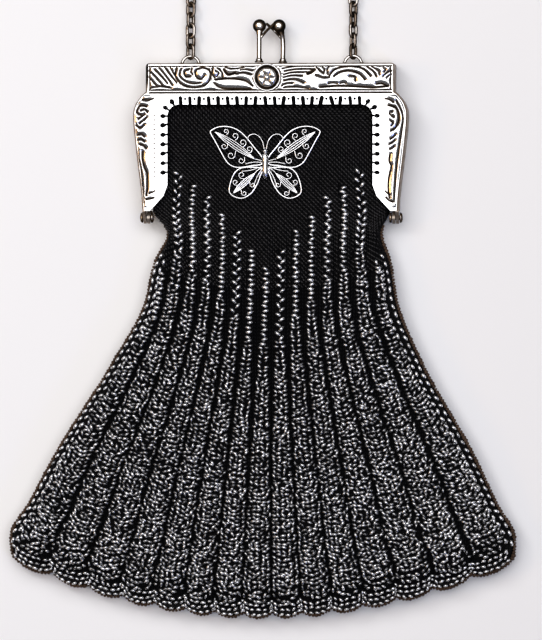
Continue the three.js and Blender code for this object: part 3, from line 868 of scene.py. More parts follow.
def makeBeads(name, side, rows):
    flutes, downs, leans, sizes, loose = rows.T
    count = len(rows)
    alongJitter, acrossJitter = beads["jitter"]
    downs = np.minimum(downs + loose * rng.normal(0, alongJitter, count), hemDown - beads["hemStop"])
    place, across, along, out = bagFrames(flutes, downs, side)
    place = place + out * beads["sunk"] + across * (loose * rng.normal(0, acrossJitter, count))[:, None]
    special = loose < 1.0
    out[special] = unit(out[special] + np.array([0.0, 0.0, side * beads["upright"]]))
    place[:, 2] = np.maximum(place[:, 2], beads["lowest"])
    lean = (leans + loose * rng.normal(0, beads["lean"], count))[:, None]
    axis = along * np.cos(lean) + across * np.sin(lean)
    axis = unit(axis - out * (axis * out).sum(axis=1, keepdims=True))
    size = (sizes * rng.normal(1.0, beads["sizeUneven"], count))[:, None]
    frames = turnedFrames(place, np.cross(out, axis) * size, out * size, axis * size)
    # painted shade: beads on the flutes' steep flanks are painted darker than those facing up
    steep, level, least = beads["flank"]
    facing = np.clip((np.abs(out[:, 2]) - steep) / (level - steep), least, 1.0)
    pale, plain = (rng.beta(*shares, count) for shares in beads["tint"])
    tint = np.where(special, pale, plain) * facing
    mesh = joinCopies(name, smallShape(*beads["faces"], beads["size"]), frames, "tint", tint)
    addPiece(name, mesh, greyBead)


beadCount = 0
for sideName, side in (("front", 1.0), ("back", -1.0)):
    rows = np.concatenate([beadPlaces(side), stringPlaces(side)])
    beadCount += len(rows)
    onLeft = rows[:, 0] < bag["flutes"] / 2
    makeBeads(f"{sideName}BeadsLeft", side, rows[onLeft])
    makeBeads(f"{sideName}BeadsRight", side, rows[~onLeft])
print("beads strung:", beadCount)


# Plain stitches of the yoke

stitch = {
    "wide": 1.64,
    "tall": 0.82,
    "size": (0.27, 0.27, 0.6),  # half width, half height and half length of a leg
    "faces": (5, 3),
    "slant": 0.785,
    "aside": 0.25,  # of a stitch's width, from its middle to a leg
    "stand": 0.16,  # how far a leg's middle stands off the ground
    "uneven": 0.04,
    "highest": 7.5,
    "lowest": 74.0,
    "reach": 50.0,  # to each side
    "edge": 0.8,  # kept clear at the bag's edges
    "clear": 1.1,  # from a bead
    "probes": 700,
    "tint": ((0.5, 1.0), (0.0, 0.12)),  # painted light: how pale the left and right legs are painted, the left ones as lit and the right ones as shaded
}


def makeYokeStitches():
    grid = np.linspace(0, bag["flutes"], stitch["probes"])
    spots = []
    for number, down in enumerate(np.arange(stitch["highest"], stitch["lowest"], stitch["tall"])):
        xs = bagPoint(grid, down, 1.0)[:, 0]
        fluteWide = (xs[-1] - xs[0]) / bag["flutes"]
        wanted = np.arange(-stitch["reach"], stitch["reach"], stitch["wide"])
        wanted = wanted + number % 2 * stitch["wide"] / 2
        wanted = wanted[(wanted > xs[0] + stitch["edge"]) & (wanted < xs[-1] - stitch["edge"])]
        for flute in np.interp(wanted, xs, grid):
            row = beadRow(min(int(flute), bag["flutes"] - 1), down, 1.0)
            if all(abs(flute - bead) * fluteWide >= stitch["clear"] for bead in row):
                spots.append((flute, down))
    flutes, downs = np.array(spots).T
    place, across, along, out = bagFrames(flutes, downs, 1.0)
    frames, tints = [], []
    # the left legs are painted pale and the right ones dark, as painted light and shade
    for hand, tint in zip((-1.0, 1.0), stitch["tint"]):
        axis = along * math.cos(stitch["slant"]) - across * hand * math.sin(stitch["slant"])
        middle = place + across * hand * stitch["wide"] * stitch["aside"] + out * stitch["stand"]
        middle = middle + rng.normal(0, stitch["uneven"], middle.shape)
        frames.append(turnedFrames(middle, np.cross(out, axis), out, axis))
        tints.append(rng.uniform(*tint, len(flutes)))
    proto = smallShape(*stitch["faces"], stitch["size"])
    mesh = joinCopies("yokeStitches", proto, np.concatenate(frames), "tint", np.concatenate(tints))
    addPiece("yokeStitches", mesh, blackYarn)
    print("stitches knitted:", len(flutes))


makeYokeStitches()


# Frame halves, drawn facing +Z with Z measured from the plane where the halves meet

midZ = 6.15
metal = {
    "barHalf": 43.6,
    "barTop": 5.1,
    "barFoot": -4.9,
    "roofPoints": (0.3, 0.65),  # shares of the half bar
    "corner": 1.2,
    "depth": 5.55,  # from the meeting plane to the sheet's outer face
    "sheet": 1.0,
    "gap": 0.15,
    "wingEdge": ((44.4, -5.5), (47.2, -9.2), (48.1, -14.0), (47.0, -26.0), (45.3, -40.0), (44.9, -46.5)),
    "openingHalf": 36.0,
    "openingTop": -9.3,
    "openingCorner": 4.2,
    # the opening's edge down a wing, from the straight side to the tip
    "openingSide": ((36.0, -25.0), (36.0, -37.5), (37.4, -41.3), (42.2, -46.5)),
    "rimWide": 1.7,
    "rimRound": 0.75,
    "rimTurn": (0, 22, 45, 68, 90),  # degrees round the rounded edge
    "rimRise": 0.03,
    "slack": 0.01,
    "plateInset": 1.3,  # the flat sheet runs this far under the rim
    # painted shade on the side walls, the rounded edge and the right wing's wall, and the left end of the
    # bar's rounded edge painted black
    "wallDark": 0.3,
    "wallFade": 0.8,
    "edgeDark": 0.45,
    "endDark": 1.0,
    "endWide": 1.05,
    "endLow": -4.95,
    "rightDark": 0.5,
}
sewing = {"pitch": 3.3, "inset": 1.9, "radius": 0.6, "lowest": -36.0, "sides": 12}
punch = {"radius": 0.48, "to": 32.0, "sides": 8}  # dots along the upper flange, between the sewing holes
ears = {
    "front": 43.9,  # inner faces of the two halves' ears
    "back": 42.6,
    "thick": 1.0,
    "y": -48.9,
    "radius": 2.1,
    "root": (3.9, 2.1),  # from where to where above its hole an ear joins the sheet
    "sunk": 0.4,
    "dark": 0.45,
}
toFront = Matrix.Translation((0, 0, midZ))
toBack = toFront @ Matrix.Rotation(math.pi, 4, "Y")


def offsetLine(line, distance):
    # the line moved to its left, mitred at its corners to twice the distance at most
    steps = unit(np.diff(line, axis=0))
    arrive = np.concatenate([steps[:1], steps])
    leave = np.concatenate([steps, steps[-1:]])
    along = unit(arrive + leave)
    stretch = distance / np.maximum(0.5, (along * leave).sum(axis=1, keepdims=True))
    return line + np.stack([-along[:, 1], along[:, 0]], axis=1) * stretch


def bothSides(right):
    # from the right half of a line that ends on the right to the whole line from the left
    left = right[::-1] * np.array([-1.0, 1.0])
    return np.concatenate([left, right])


def outerEdge():
    half, top, corner = metal["barHalf"], metal["barTop"], metal["corner"]
    roof = [(half * share, top) for share in metal["roofPoints"]]
    bend = arc(half - corner, top - corner, corner, 90, 0, steps=5)
    end = [(half, 0.0), (half, metal["barFoot"])]
    return bothSides(np.concatenate([roof, bend, end, smoothLine(metal["wingEdge"], steps=7)]))


def openingEdge():
    half, top, corner = metal["openingHalf"], metal["openingTop"], metal["openingCorner"]
    bend = arc(half - corner, top - corner, corner, 90, 0, steps=8)
    return bothSides(np.concatenate([bend, metal["openingSide"]]))[::-1]


def sewingHoles():
    # places of the holes and the direction from each to the opening
    inset = sewing["inset"]
    corner = metal["openingCorner"] + inset
    side = metal["openingHalf"] + inset
    top = metal["openingTop"] + inset
    straight = side - corner
    bend = corner * math.pi / 2
    total = straight + bend + top - corner - sewing["lowest"]
    rows = []
    for along in np.arange(sewing["pitch"] / 2, total, sewing["pitch"]):
        if along < straight:
            spot, inward = (along, top), (0.0, -1.0)
        elif along < straight + bend:
            turn = math.pi / 2 - (along - straight) / corner
            inward = (-math.cos(turn), -math.sin(turn))
            spot = (straight - corner * inward[0], top - corner - corner * inward[1])
        else:
            spot, inward = (side, top - corner - (along - straight - bend)), (-1.0, 0.0)
        rows.append((spot, inward))
        rows.append(((-spot[0], spot[1]), (-inward[0], inward[1])))
    return rows


def addRim(bm, patinaAndShade, hand):
    # the folded outer edge: side wall, rounded corner and a narrow land on the face
    edge = outerEdge()
    top, rounding, sheet = metal["depth"], metal["rimRound"], metal["sheet"]
    land, rise, gap = metal["rimWide"], metal["rimRise"], metal["gap"]
    profile = [(0.0, gap), (0.0, top * 0.5)]
    for turn in np.radians(metal["rimTurn"]):
        profile.append((rounding * (1 - math.cos(turn)), top - rounding * (1 - math.sin(turn))))
    profile += [(land, top + rise), (land, top - sheet), (sheet, top - sheet), (sheet, gap)]
    rings = [np.column_stack([offsetLine(edge, -inset), np.full(len(edge), z)]) for inset, z in profile]
    rings = np.array(rings + rings[:1])
    count = len(edge) - 1
    made, u, v = addGrid(bm, count, len(profile))
    places = rings[np.rint(v * len(profile)).astype(int), np.rint(u * count).astype(int)]
    for vert, place in zip(made, places):
        vert.co = place
        x = hand * vert.co.x
        onEdge = vert.co.z > top - rounding - metal["slack"]
        offFace = vert.co.z < top - rise
        # painted shade: walls darken below the rounded edge, the left end's edge is painted black, and the
        # right wing's wall and the rounded edge are darker
        vert[patinaAndShade] = metal["wallDark"] * np.clip((top - rounding - vert.co.z) / metal["wallFade"], 0.0, 1.0)
        if onEdge and vert.co.y > metal["endLow"] and x < metal["endWide"] - metal["barHalf"]:
            vert[patinaAndShade] = metal["endDark"]
        elif offFace and x > metal["openingHalf"]:
            vert[patinaAndShade] = max(metal["rightDark"], vert[patinaAndShade])
        elif offFace and onEdge:
            vert[patinaAndShade] = metal["edgeDark"]
    bmesh.ops.remove_doubles(bm, verts=made, dist=mergeGap)


def addPlate(bm):
    # the flat sheet with its pierced sewing flange
    loops = [np.concatenate([offsetLine(outerEdge(), -metal["plateInset"]), openingEdge()])]
    loops += [arc(*spot, sewing["radius"], 0, 360, sewing["sides"])[:-1] for spot, inward in sewingHoles()]
    row = metal["openingTop"] + sewing["inset"]
    for x in np.arange(0.0, punch["to"], sewing["pitch"]):
        for side in (-1, 1) if x else (1,):
            loops.append(arc(side * x, row, punch["radius"], 0, 360, punch["sides"])[:-1])
    edges = []
    for loop in loops:
        ring = [bm.verts.new((x, y, metal["depth"] - metal["sheet"])) for x, y in loop]
        edges += [bm.edges.new(pair) for pair in zip(ring, ring[1:] + ring[:1])]
    filled = bmesh.ops.triangle_fill(bm, edges=edges, use_beauty=True, normal=(0, 0, 1))["geom"]
    thicken(bm, [part for part in filled if isinstance(part, bmesh.types.BMFace)], (0, 0, metal["sheet"]))


def addEars(bm, patinaAndShade, inner):
    # tongues at the wing tips that carry the hinge rivets
    root = [(ears["y"] + above, metal["depth"] - ears["sunk"]) for above in ears["root"]]
    outline = np.concatenate([root, arc(ears["y"], 0.0, ears["radius"], 180, 360, steps=10)])
    for side in (-1, 1):
        ring = [bm.verts.new((side * inner, y, z)) for y, z in outline]
        for vert in ring:
            vert[patinaAndShade] = ears["dark"]
        thicken(bm, [bm.faces.new(ring)], (side * ears["thick"], 0, 0))


def makeFrameBody(name, node, place, hand, ear):
    bm, patinaAndShade = startMetal()
    addRim(bm, patinaAndShade, hand)
    addPlate(bm)
    addEars(bm, patinaAndShade, ear)
    tidyMesh(bm)
    addMetal(name, bm, (node,), place, sharp=38)


makeFrameBody("frontFrame", "front_frame", toFront, 1.0, ears["front"])
makeFrameBody("backFrame", "back_frame", toBack, -1.0, ears["back"])
print("frame halves made")


# Chased lines of the frame: the width of each cut, then the points that it runs through

barLines = [
    # left end: leaf veins that sweep down to the scroll
    (0.6, (-42.7, 0.6), (-41.1, -1.2), (-39.5, -3.1)),
    (0.6, (-42.6, 2.6), (-40.2, 0.4), (-37.6, -2.7)),
    (0.7, (-40.4, 2.9), (-38.2, 0.7), (-35.9, -1.9)),
    (0.6, (-38.8, 3.5), (-36.7, 0.9), (-34.2, -2.6)),
    (0.7, (-36.8, 3.7), (-35.2, 1.4), (-32.6, -1.7)),
    (0.6, (-34.9, 3.7), (-33.7, 1.5), (-31.4, -2.0)),
    (0.6, (-42.0, -3.7), (-38.6, -2.9), (-34.6, -3.6)),
    # left scroll, open upwards, with its eye
    (0.7, (-32.6, 3.5), (-33.0, 0.3), (-30.4, -2.5), (-26.5, -3.4), (-22.6, -2.5), (-20.7, 0.1),
     (-21.3, 2.6), (-23.6, 3.5), (-25.9, 2.5), (-25.8, 0.4), (-24.2, -0.5), (-22.9, 0.7)),
    (0.5, (-31.0, 3.3), (-31.6, 0.7), (-29.4, -1.2), (-26.8, -2.0), (-24.2, -1.7)),
    (0.7, (-28.2, 3.0), (-29.9, 2.2), (-29.4, 0.4), (-27.6, 0.6)),
    (0.5, (-27.4, 3.4), (-27.6, 2.0), (-27.0, 1.0)),
    # left tuft, swoosh and spray up to the rosette
    (0.7, (-19.9, 3.6), (-20.2, 1.5), (-19.3, 0.0)),
    (0.6, (-18.4, 3.4), (-16.7, 1.8), (-16.5, -0.1)),
    (0.5, (-19.0, 2.4), (-17.9, 1.7), (-18.7, 0.3)),
    (0.8, (-19.1, -0.7), (-14.2, -0.3), (-9.0, -0.9), (-5.9, -2.9)),
    (0.7, (-19.4, -1.9), (-16.8, -3.6), (-10.3, -3.9), (-6.6, -3.9)),
    (1.1, (-16.0, 2.8), (-14.6, 1.1), (-12.2, 1.7)),
    (0.6, (-15.6, 3.6), (-12.6, 3.1), (-9.0, 3.6)),
    (0.6, (-11.9, 1.3), (-9.3, 1.8), (-6.2, 1.0)),
    (0.5, (-10.3, 2.7), (-8.2, 2.9), (-5.8, 2.3)),
    # right spray of long strokes from the rosette
    (0.6, (4.4, 3.2), (9.4, 3.9), (15.5, 3.9)),
    (0.7, (5.2, 2.2), (9.4, 2.9), (15.4, 2.9)),
    (0.6, (4.9, 1.0), (7.8, 1.8), (13.0, 1.9)),
    (0.5, (4.6, 0.1), (7.8, 0.7), (11.4, 0.6)),
    (0.6, (4.9, -1.1), (8.8, -0.6), (11.9, -1.9)),
    (0.6, (4.2, -2.9), (5.8, -2.0), (8.0, -2.0)),
    (0.6, (4.9, -3.5), (8.8, -3.2), (13.6, -3.8)),
    (1.3, (13.3, 1.4), (14.6, 1.9), (15.6, 2.7)),
    # right tuft
    (0.6, (16.3, 3.6), (17.5, 2.4), (18.8, 1.4)),
    (0.6, (18.4, 3.7), (19.2, 2.6), (18.9, 1.7)),
    (0.6, (20.7, 3.8), (20.0, 2.6), (20.4, 1.1)),
    (0.5, (16.0, 0.9), (18.8, 0.0), (20.9, 0.2)),
    # right scroll, an arch open downwards
    (0.8, (20.9, 0.6), (23.0, 2.9), (27.9, 3.9), (32.4, 3.1), (35.3, 0.4)),
    (0.8, (22.5, 0.4), (24.6, 1.8), (27.5, 2.3), (31.1, 1.4), (33.3, -0.8)),
    (0.6, (27.8, 0.5), (29.7, 0.2), (30.0, -1.2)),
    # right end leaf
    (0.7, (34.0, 3.7), (36.0, 2.3), (37.3, 0.3)),
    (0.6, (35.6, 3.8), (37.9, 2.3), (38.4, 0.9)),
    (0.6, (39.6, 0.4), (41.0, 1.7), (42.7, 2.3)),
    (0.6, (39.6, 3.7), (40.4, 2.7), (40.0, 1.8)),
    (0.5, (40.8, 0.0), (41.8, 0.7), (42.7, 1.1)),
    (0.7, (37.3, -2.3), (39.3, -2.2), (41.3, -3.1)),
    (0.8, (17.6, -3.4), (22.4, -3.0), (27.2, -3.0), (32.4, -3.3), (36.9, -3.5), (41.5, -3.0)),
    (0.5, (20.6, -2.2), (22.2, -1.9), (23.6, -2.2)),
    (0.5, (24.6, -2.1), (26.0, -1.8), (26.6, -2.2)),
    # border: a line at each end, one along the top and two along the bottom
    (0.5, (-42.1, -4.2), (-42.1, 0.0), (-42.1, 4.1)),
    (0.5, (42.3, -4.2), (42.3, 0.0), (42.3, 4.1)),
    (0.45, (-42.7, 4.05), (0.0, 4.05), (42.6, 4.05)),
    (0.5, (-43.0, -4.35), (0.0, -4.35), (43.0, -4.35)),
    (0.55, (-43.0, -5.3), (0.0, -5.3), (43.0, -5.3)),
]
leftWingLines = [
    (0.6, (-44.7, -7.6), (-42.6, -7.8), (-40.9, -7.2)),
    (0.7, (-43.2, -10.0), (-45.5, -9.7), (-46.7, -12.0), (-45.2, -13.0)),
    (0.5, (-45.3, -11.5), (-43.9, -10.9), (-42.9, -12.0)),
    (0.6, (-46.2, -14.4), (-45.2, -13.7), (-43.9, -12.7)),
    (0.6, (-45.7, -15.9), (-44.2, -14.7), (-43.2, -13.8)),
    (0.7, (-46.9, -16.6), (-45.5, -17.5), (-44.2, -16.4)),
    (0.6, (-46.5, -20.0), (-45.1, -19.6), (-44.0, -20.5)),
    (0.6, (-46.4, -21.8), (-45.1, -21.4), (-44.0, -22.2)),
    (0.6, (-45.9, -23.2), (-44.5, -23.5), (-43.4, -24.6)),
    (0.6, (-44.5, -25.7), (-44.7, -28.3), (-44.0, -31.2), (-43.0, -33.5), (-42.8, -37.9),
     (-43.4, -41.1)),
    (0.5, (-42.4, -40.4), (-41.2, -40.0), (-40.2, -39.4)),
    (0.6, (-43.4, -42.5), (-42.0, -42.3), (-40.7, -41.9)),
    (0.5, (-47.2, -18.0), (-46.9, -24.0), (-45.2, -32.0), (-44.3, -43.6)),
]
rightWingLines = [
    (0.6, (39.7, -7.4), (41.4, -7.6), (43.2, -8.6)),
    (0.7, (41.4, -9.7), (44.1, -10.6), (45.2, -13.8), (44.3, -17.0), (42.3, -18.7)),
    (0.5, (42.9, -11.8), (41.8, -12.6), (43.3, -13.8)),
    (0.5, (42.0, -15.0), (43.0, -15.8), (42.4, -16.9)),
    (0.6, (42.1, -21.5), (43.0, -20.9), (43.8, -20.0)),
    (0.6, (41.7, -23.4), (42.7, -22.7), (43.6, -21.9)),
    (0.6, (41.9, -25.0), (42.7, -24.6), (43.4, -24.0)),
    (0.6, (42.0, -26.8), (41.8, -29.2), (42.5, -30.9), (42.0, -33.2), (41.5, -36.1), (41.5, -39.6),
     (41.9, -42.0)),
    (0.5, (40.4, -39.6), (41.2, -40.4), (42.2, -40.9)),
    (0.6, (40.6, -41.8), (41.7, -42.8), (43.0, -43.4)),
    (0.5, (44.3, -8.2), (46.5, -13.2), (46.3, -17.6), (45.4, -23.6), (44.4, -31.0), (43.5, -43.4)),
]
# a row of punched dots along the left wing's inner border
dots = {"x": -40.6, "from": -13.0, "to": -36.0, "pitch": 1.65, "wide": 0.42, "long": 0.1}
for dotY in np.arange(dots["from"], dots["to"], -dots["pitch"]):
    leftWingLines.append((dots["wide"], *((dots["x"], dotY - step * dots["long"]) for step in (0, 1, 2))))
rosette = {
    "x": -0.93,
    "y": 0.05,
    "seat": 4.7,  # radius that the chasing leaves free
    "stand": 0.75,
    "steps": 72,
    "petals": 6,
    "petalRise": 0.28,
    "gapWide": 0.16,
    "gapDeep": 0.15,
    "gapDark": 0.95,
}
chasing = {
    "finest": 0.14,  # mm between the grid's points
    "land": 0.3,  # height of the cut ground over the sheet
    "swell": 0.55,  # how much the forms swell between the lines
    "swellReach": 3.2,  # in half widths of a line
    "broaden": 1.4,  # how far a cut reaches past its drawn width
    "search": (4.5, 9.0),  # how far from a line its cut is worked out, in widths, and what counts as far off
    "black": (0.6, 1.3),  # from where to where a cut's dark fades, in half widths
    "wingBlack": (0.7, 1.5),
    "barShare": 0.55,  # how much of the relief the bar and the wings get
    "wingShare": 0.65,
    "lift": 0.05,  # how far a tile lies off the sheet
    "ease": 0.7,  # how softly a tile rises from the sheet
    "innerEase": 3.0,  # how much softer on the wing's inner side
    "edgeFade": 0.15,  # the dark stops this near a tile's edge
    "bar": (-42.6, 42.9, -5.75, 4.6),  # x from, x to, y from, y to
    "wing": (-45.4, -5.75),  # y from, y to
    "wingInner": 39.9,
    "wingInset": 0.6,
    "wingWide": 7.4,
    "diagonalInset": 1.0,
    "back": (2.2, 0.6),  # how much coarser the back's grid is, and its share of the relief
}


def distanceTo(x, y, line):
    best = np.full(x.shape, np.inf)
    for (ax, ay), (bx, by) in zip(line, line[1:]):
        dx, dy = bx - ax, by - ay
        t = np.clip(((x - ax) * dx + (y - ay) * dy) / (dx * dx + dy * dy + tiny), 0.0, 1.0)
        best = np.minimum(best, np.hypot(x - ax - t * dx, y - ay - t * dy))
    return best


def nearestCut(x, y, lines):
    # distance to the nearest line in half widths of it
    near, far = chasing["search"]
    best = np.full(x.shape, far)
    for wide, *points in lines:
        line = smoothLine(points, steps=6)
        low, high = line.min(axis=0) - near * wide, line.max(axis=0) + near * wide
        pick = (x > low[0]) & (x < high[0]) & (y > low[1]) & (y < high[1])
        best[pick] = np.minimum(best[pick], 2 * distanceTo(x[pick], y[pick], line) / wide)
    return best


def addRelief(bm, patinaAndShade, wide, tall, outline, lines, share, black):
    # outline gives x, y and the distance to the tile's edge
    made, u, v = addGrid(bm, wide, tall)
    x, y, edge = outline(u, v)
    near = nearestCut(x, y, lines)
    cut = np.exp(-(near / chasing["broaden"]) ** 2)
    swell = 1.0 - np.exp(-(near / chasing["swellReach"]) ** 2)
    rise = 1.0 - np.exp(-(np.maximum(edge, 0.0) / chasing["ease"]) ** 2)
    solid, gone = black
    darks = np.clip((gone - near) / (gone - solid), 0.0, 1.0) * np.clip(edge / chasing["edgeFade"], 0.0, 1.0)
    relief = chasing["land"] * (1.0 - cut) + chasing["swell"] * swell
    z = metal["depth"] + chasing["lift"] + share * rise * relief
    for vert, px, py, pz, dark in zip(made, x, y, z, darks):
        vert.co = (px, py, pz)
        vert[patinaAndShade] = dark


def barOutline(seatRadius):
    left, right, low, high = chasing["bar"]

    def outline(u, v):
        x = left + u * (right - left)
        y = low + v * (high - low)
        edge = np.minimum.reduce([x - left, right - x, y - low, high - y])
        if seatRadius:
            edge = np.minimum(edge, np.hypot(x - rosette["x"], y - rosette["y"]) - seatRadius)
        return x, y, edge

    return outline


def wingOutline(side):
    edge = smoothLine(metal["wingEdge"], steps=12)
    low, high = chasing["wing"]
    bend, tip = metal["openingSide"][1], metal["openingSide"][-1]

    def outline(u, v):
        y = low + v * (high - low)
        outer = np.interp(-y, -edge[:, 1], edge[:, 0]) - chasing["wingInset"]
        diagonal = np.interp(-y, [-bend[1], -tip[1]], [bend[0], tip[0]]) + chasing["diagonalInset"]
        inner = np.maximum(chasing["wingInner"], diagonal)
        x = inner + u * (outer - inner)
        across = np.minimum((x - inner) / chasing["innerEase"], outer - x)
        return side * x, y, np.minimum(across, np.minimum(y - low, high - y))

    return outline


def makeRelief(name, place, step, share, seatRadius):
    bm, patinaAndShade = startMetal()
    left, right, low, high = chasing["bar"]
    wide, tall = round((right - left) / step), round((high - low) / step)
    barShare, wingShare = share * chasing["barShare"], share * chasing["wingShare"]
    addRelief(bm, patinaAndShade, wide, tall, barOutline(seatRadius), barLines, barShare, chasing["black"])
    wide, tall = round(chasing["wingWide"] / step), round((chasing["wing"][1] - chasing["wing"][0]) / step)
    for side, lines in ((-1, leftWingLines), (1, rightWingLines)):
        addRelief(bm, patinaAndShade, wide, tall, wingOutline(side), lines, wingShare, chasing["wingBlack"])
    bmesh.ops.recalc_face_normals(bm, faces=bm.faces)
    if sum(face.normal.z for face in bm.faces) < 0:
        bmesh.ops.reverse_faces(bm, faces=bm.faces)
    addMetal(name, bm, place=place)


coarser, backShare = chasing["back"]
makeRelief("frontChasing", toFront, chasing["finest"], 1.0, rosette["seat"])
makeRelief("backChasing", toBack, coarser * chasing["finest"], backShare, 0.0)
print("chasing cut")


# Rosette in the middle of the bar

# turned section from the middle outwards: radius, height, tarnish there and share of the petals' rise
rosetteRows = [
    (0.0, 0.95, 0.0, 0),
    (0.5, 0.86, 0.0, 0),
    (0.9, 0.55, 0.1, 0),
    (1.08, 0.2, 0.55, 0),
    (1.25, 0.2, 0.3, 0.5),
    (1.5, 0.3, 0.05, 1),
    (2.3, 0.42, 0.0, 1),
    (2.8, 0.36, 0.0, 0.5),
    (3.2, 0.1, 0.15, 0),
    (3.35, -0.1, 1.0, 0),
    (4.2, -0.1, 1.0, 0),
    (4.35, 0.2, 0.25, 0),
    (4.55, 0.34, 0.0, 0),
    (4.75, 0.2, 0.05, 0),
    (4.9, -0.2, 0.6, 0),
    (4.9, -0.85, 0.9, 0),
]


def makeRosette():
    bm, patinaAndShade = startMetal()
    radii, heights, darks, petals = np.array(rosetteRows).T
    lathe(bm, list(zip(radii, heights)), rosette["steps"])
    apart = 1e-4  # keeps the last two rows, which are one above the other, apart
    radii = radii + apart * np.arange(len(radii))
    foot = heights[-2:].mean()
    for vert in bm.verts:
        reach = math.hypot(vert.co.x, vert.co.y) + (apart * len(radii) if vert.co.z < foot else 0.0)
        petal = np.interp(reach, radii, petals)
        swing = abs(math.sin(math.atan2(vert.co.y, vert.co.x) * rosette["petals"] / 2))
        gap = petal * math.exp(-(swing / rosette["gapWide"]) ** 2)
        vert.co.z += rosette["petalRise"] * petal * (swing - 0.5) - rosette["gapDeep"] * gap
        vert[patinaAndShade] = min(1.0, np.interp(reach, radii, darks) + rosette["gapDark"] * gap)
    bmesh.ops.recalc_face_normals(bm, faces=bm.faces)
    spot = Matrix.Translation((rosette["x"], rosette["y"], metal["depth"] + rosette["stand"]))
    addMetal("rosette", bm, place=toFront @ spot)


makeRosette()
print("rosette set")


# Loops for the chain, clasp arms and hinge rivets

handleLoops = {
    "x": 28.6,
    "radius": 3.0,
    "wire": 0.55,
    "z": midZ - 2.5,
    "sunk": 0.3,  # how far the ring's middle lies under the roof
    "ends": (-6, 186),  # degrees
    "foot": 0.95,
    "footFlat": 0.55,
    # how dark the painted shade on the loops' sides is
    "dark": 0.8,
}
clasp = {
    "ball": 2.35,
    "ballY": 18.2,
    "lean": 1.0,
    "stemDepth": 2.4,
    "bendY": 13.4,
    "bendShare": 0.85,  # of the stem's depth
    "seat": 0.25,  # over the roof
    "stemFrom": 1.0,  # over the seat
    "foot": ((0.0, 0.0), (1.5, 0.0), (1.5, 0.35), (1.1, 0.75), (1.15, 1.05), (0.8, 1.6), (0.0, 1.6)),
    # how far along the stem, and its radius there
    "girth": ((0.0, 0.5, 0.62, 0.85, 1.0), (0.82, 0.82, 0.88, 1.5, 1.7)),
    # how dark the painted shade on the arms' sides is
    "dark": 1.0,
    "finger": 0.48,
    "fingerDepth": 1.5,
    "fingerBow": 0.3,
    "fingerFrom": 1.0,  # off the stem and below the bend
    "fingerDark": 0.8,
    "fingerClear": 0.05,  # off the ball
}
claspArms = {
    "front": {"node": "clasp_front", "side": 1, "stemX": -4.0, "ballX": -4.0, "finger": (1.0, 18.7)},
    "back": {"node": "clasp_back", "side": -1, "stemX": 3.9, "ballX": 2.7, "finger": (-1.6, 18.9)},
}
# radius and height from the ear's face
rivet = {
    "play": 0.3,
    "flatHead": ((0.0, -0.8), (1.5, -0.8), (1.8, -0.45), (1.8, 0.0), (0.8, 0.0)),
    "domedHead": ((0.8, 0.0), (1.8, 0.0), (1.8, 0.35), (1.45, 0.75), (0.5, 0.95), (0.0, 1.0)),
    # how dark the painted shade on the rivets' sides is
    "dark": 0.85,
}


def makeLoops():
    bm = bmesh.new()
    seat = metal["barTop"] - handleLoops["sunk"]
    ring = arc(0, seat, handleLoops["radius"], *handleLoops["ends"], steps=18)
    flat = Matrix.Diagonal((1.0, handleLoops["footFlat"], 1.0, 1.0))
    for side in (-1, 1):
        line = [(side * handleLoops["x"] + x, y, handleLoops["z"]) for x, y in ring]
        sweep(bm, line, handleLoops["wire"], sides=10)
        for end in (line[0], line[-1]):
            place = Matrix.Translation((end[0], metal["barTop"], end[2])) @ flat
            addBall(bm, handleLoops["foot"], place, around=14, rings=8)
    tidyMesh(bm)
    darkenSides(bm, handleLoops["dark"])
    addMetal("chainLoops", bm)


def makeClasp(name, arm):
    bm = bmesh.new()
    side = arm["side"]
    z = midZ + side * clasp["stemDepth"]
    seat = metal["barTop"] + clasp["seat"]
    upright = Matrix.Rotation(-math.pi / 2, 4, "X")
    lathe(bm, clasp["foot"], steps=20, place=Matrix.Translation((arm["stemX"], seat, z)) @ upright)
    bend = Vector((arm["stemX"], clasp["bendY"], midZ + side * clasp["bendShare"] * clasp["stemDepth"]))
    ball = Vector((arm["ballX"], clasp["ballY"], midZ + side * clasp["lean"]))
    tip = Vector((*arm["finger"], midZ + side * clasp["fingerDepth"]))
    stem = smoothLine([(arm["stemX"], seat + clasp["stemFrom"], z), bend, ball], steps=8)
    sweep(bm, stem, list(np.interp(np.linspace(0, 1, len(stem)), *clasp["girth"])), sides=14)
    addBall(bm, clasp["ball"], Matrix.Translation(ball), around=28, rings=18)
    bow = bend.lerp(tip, 0.5) + Vector((0, clasp["fingerBow"], 0))
    sweep(bm, smoothLine([bend, bow, tip], steps=5), clasp["finger"], sides=8)
    addBall(bm, clasp["finger"], Matrix.Translation(tip), around=10, rings=6)
    tidyMesh(bm)
    patinaAndShade = darkenSides(bm, clasp["dark"])
    for vert in bm.verts:
        offStem = abs(vert.co.x - arm["stemX"]) > clasp["fingerFrom"]
        offBall = (vert.co - ball).length > clasp["ball"] + clasp["fingerClear"]
        if offStem and offBall and vert.co.y > clasp["bendY"] - clasp["fingerFrom"]:
            vert[patinaAndShade] = max(vert[patinaAndShade], clasp["fingerDark"])
    addMetal(name, bm, (arm["node"],), sharp=50)


def makeHinge(name, node, side):
    bm = bmesh.new()
    inner, outer = ears["back"] - rivet["play"], ears["front"] + ears["thick"] + rivet["play"]
    profile = [(radius, inner + height) for radius, height in rivet["flatHead"]]
    profile += [(radius, outer + height) for radius, height in rivet["domedHead"]]
    stand = Matrix.Translation((0, ears["y"], midZ)) @ Matrix.Rotation(side * math.pi / 2, 4, "Y")
    lathe(bm, profile, steps=24, place=stand)
    tidyMesh(bm)
    darkenSides(bm, rivet["dark"])
    addMetal(name, bm, (node,), sharp=45)


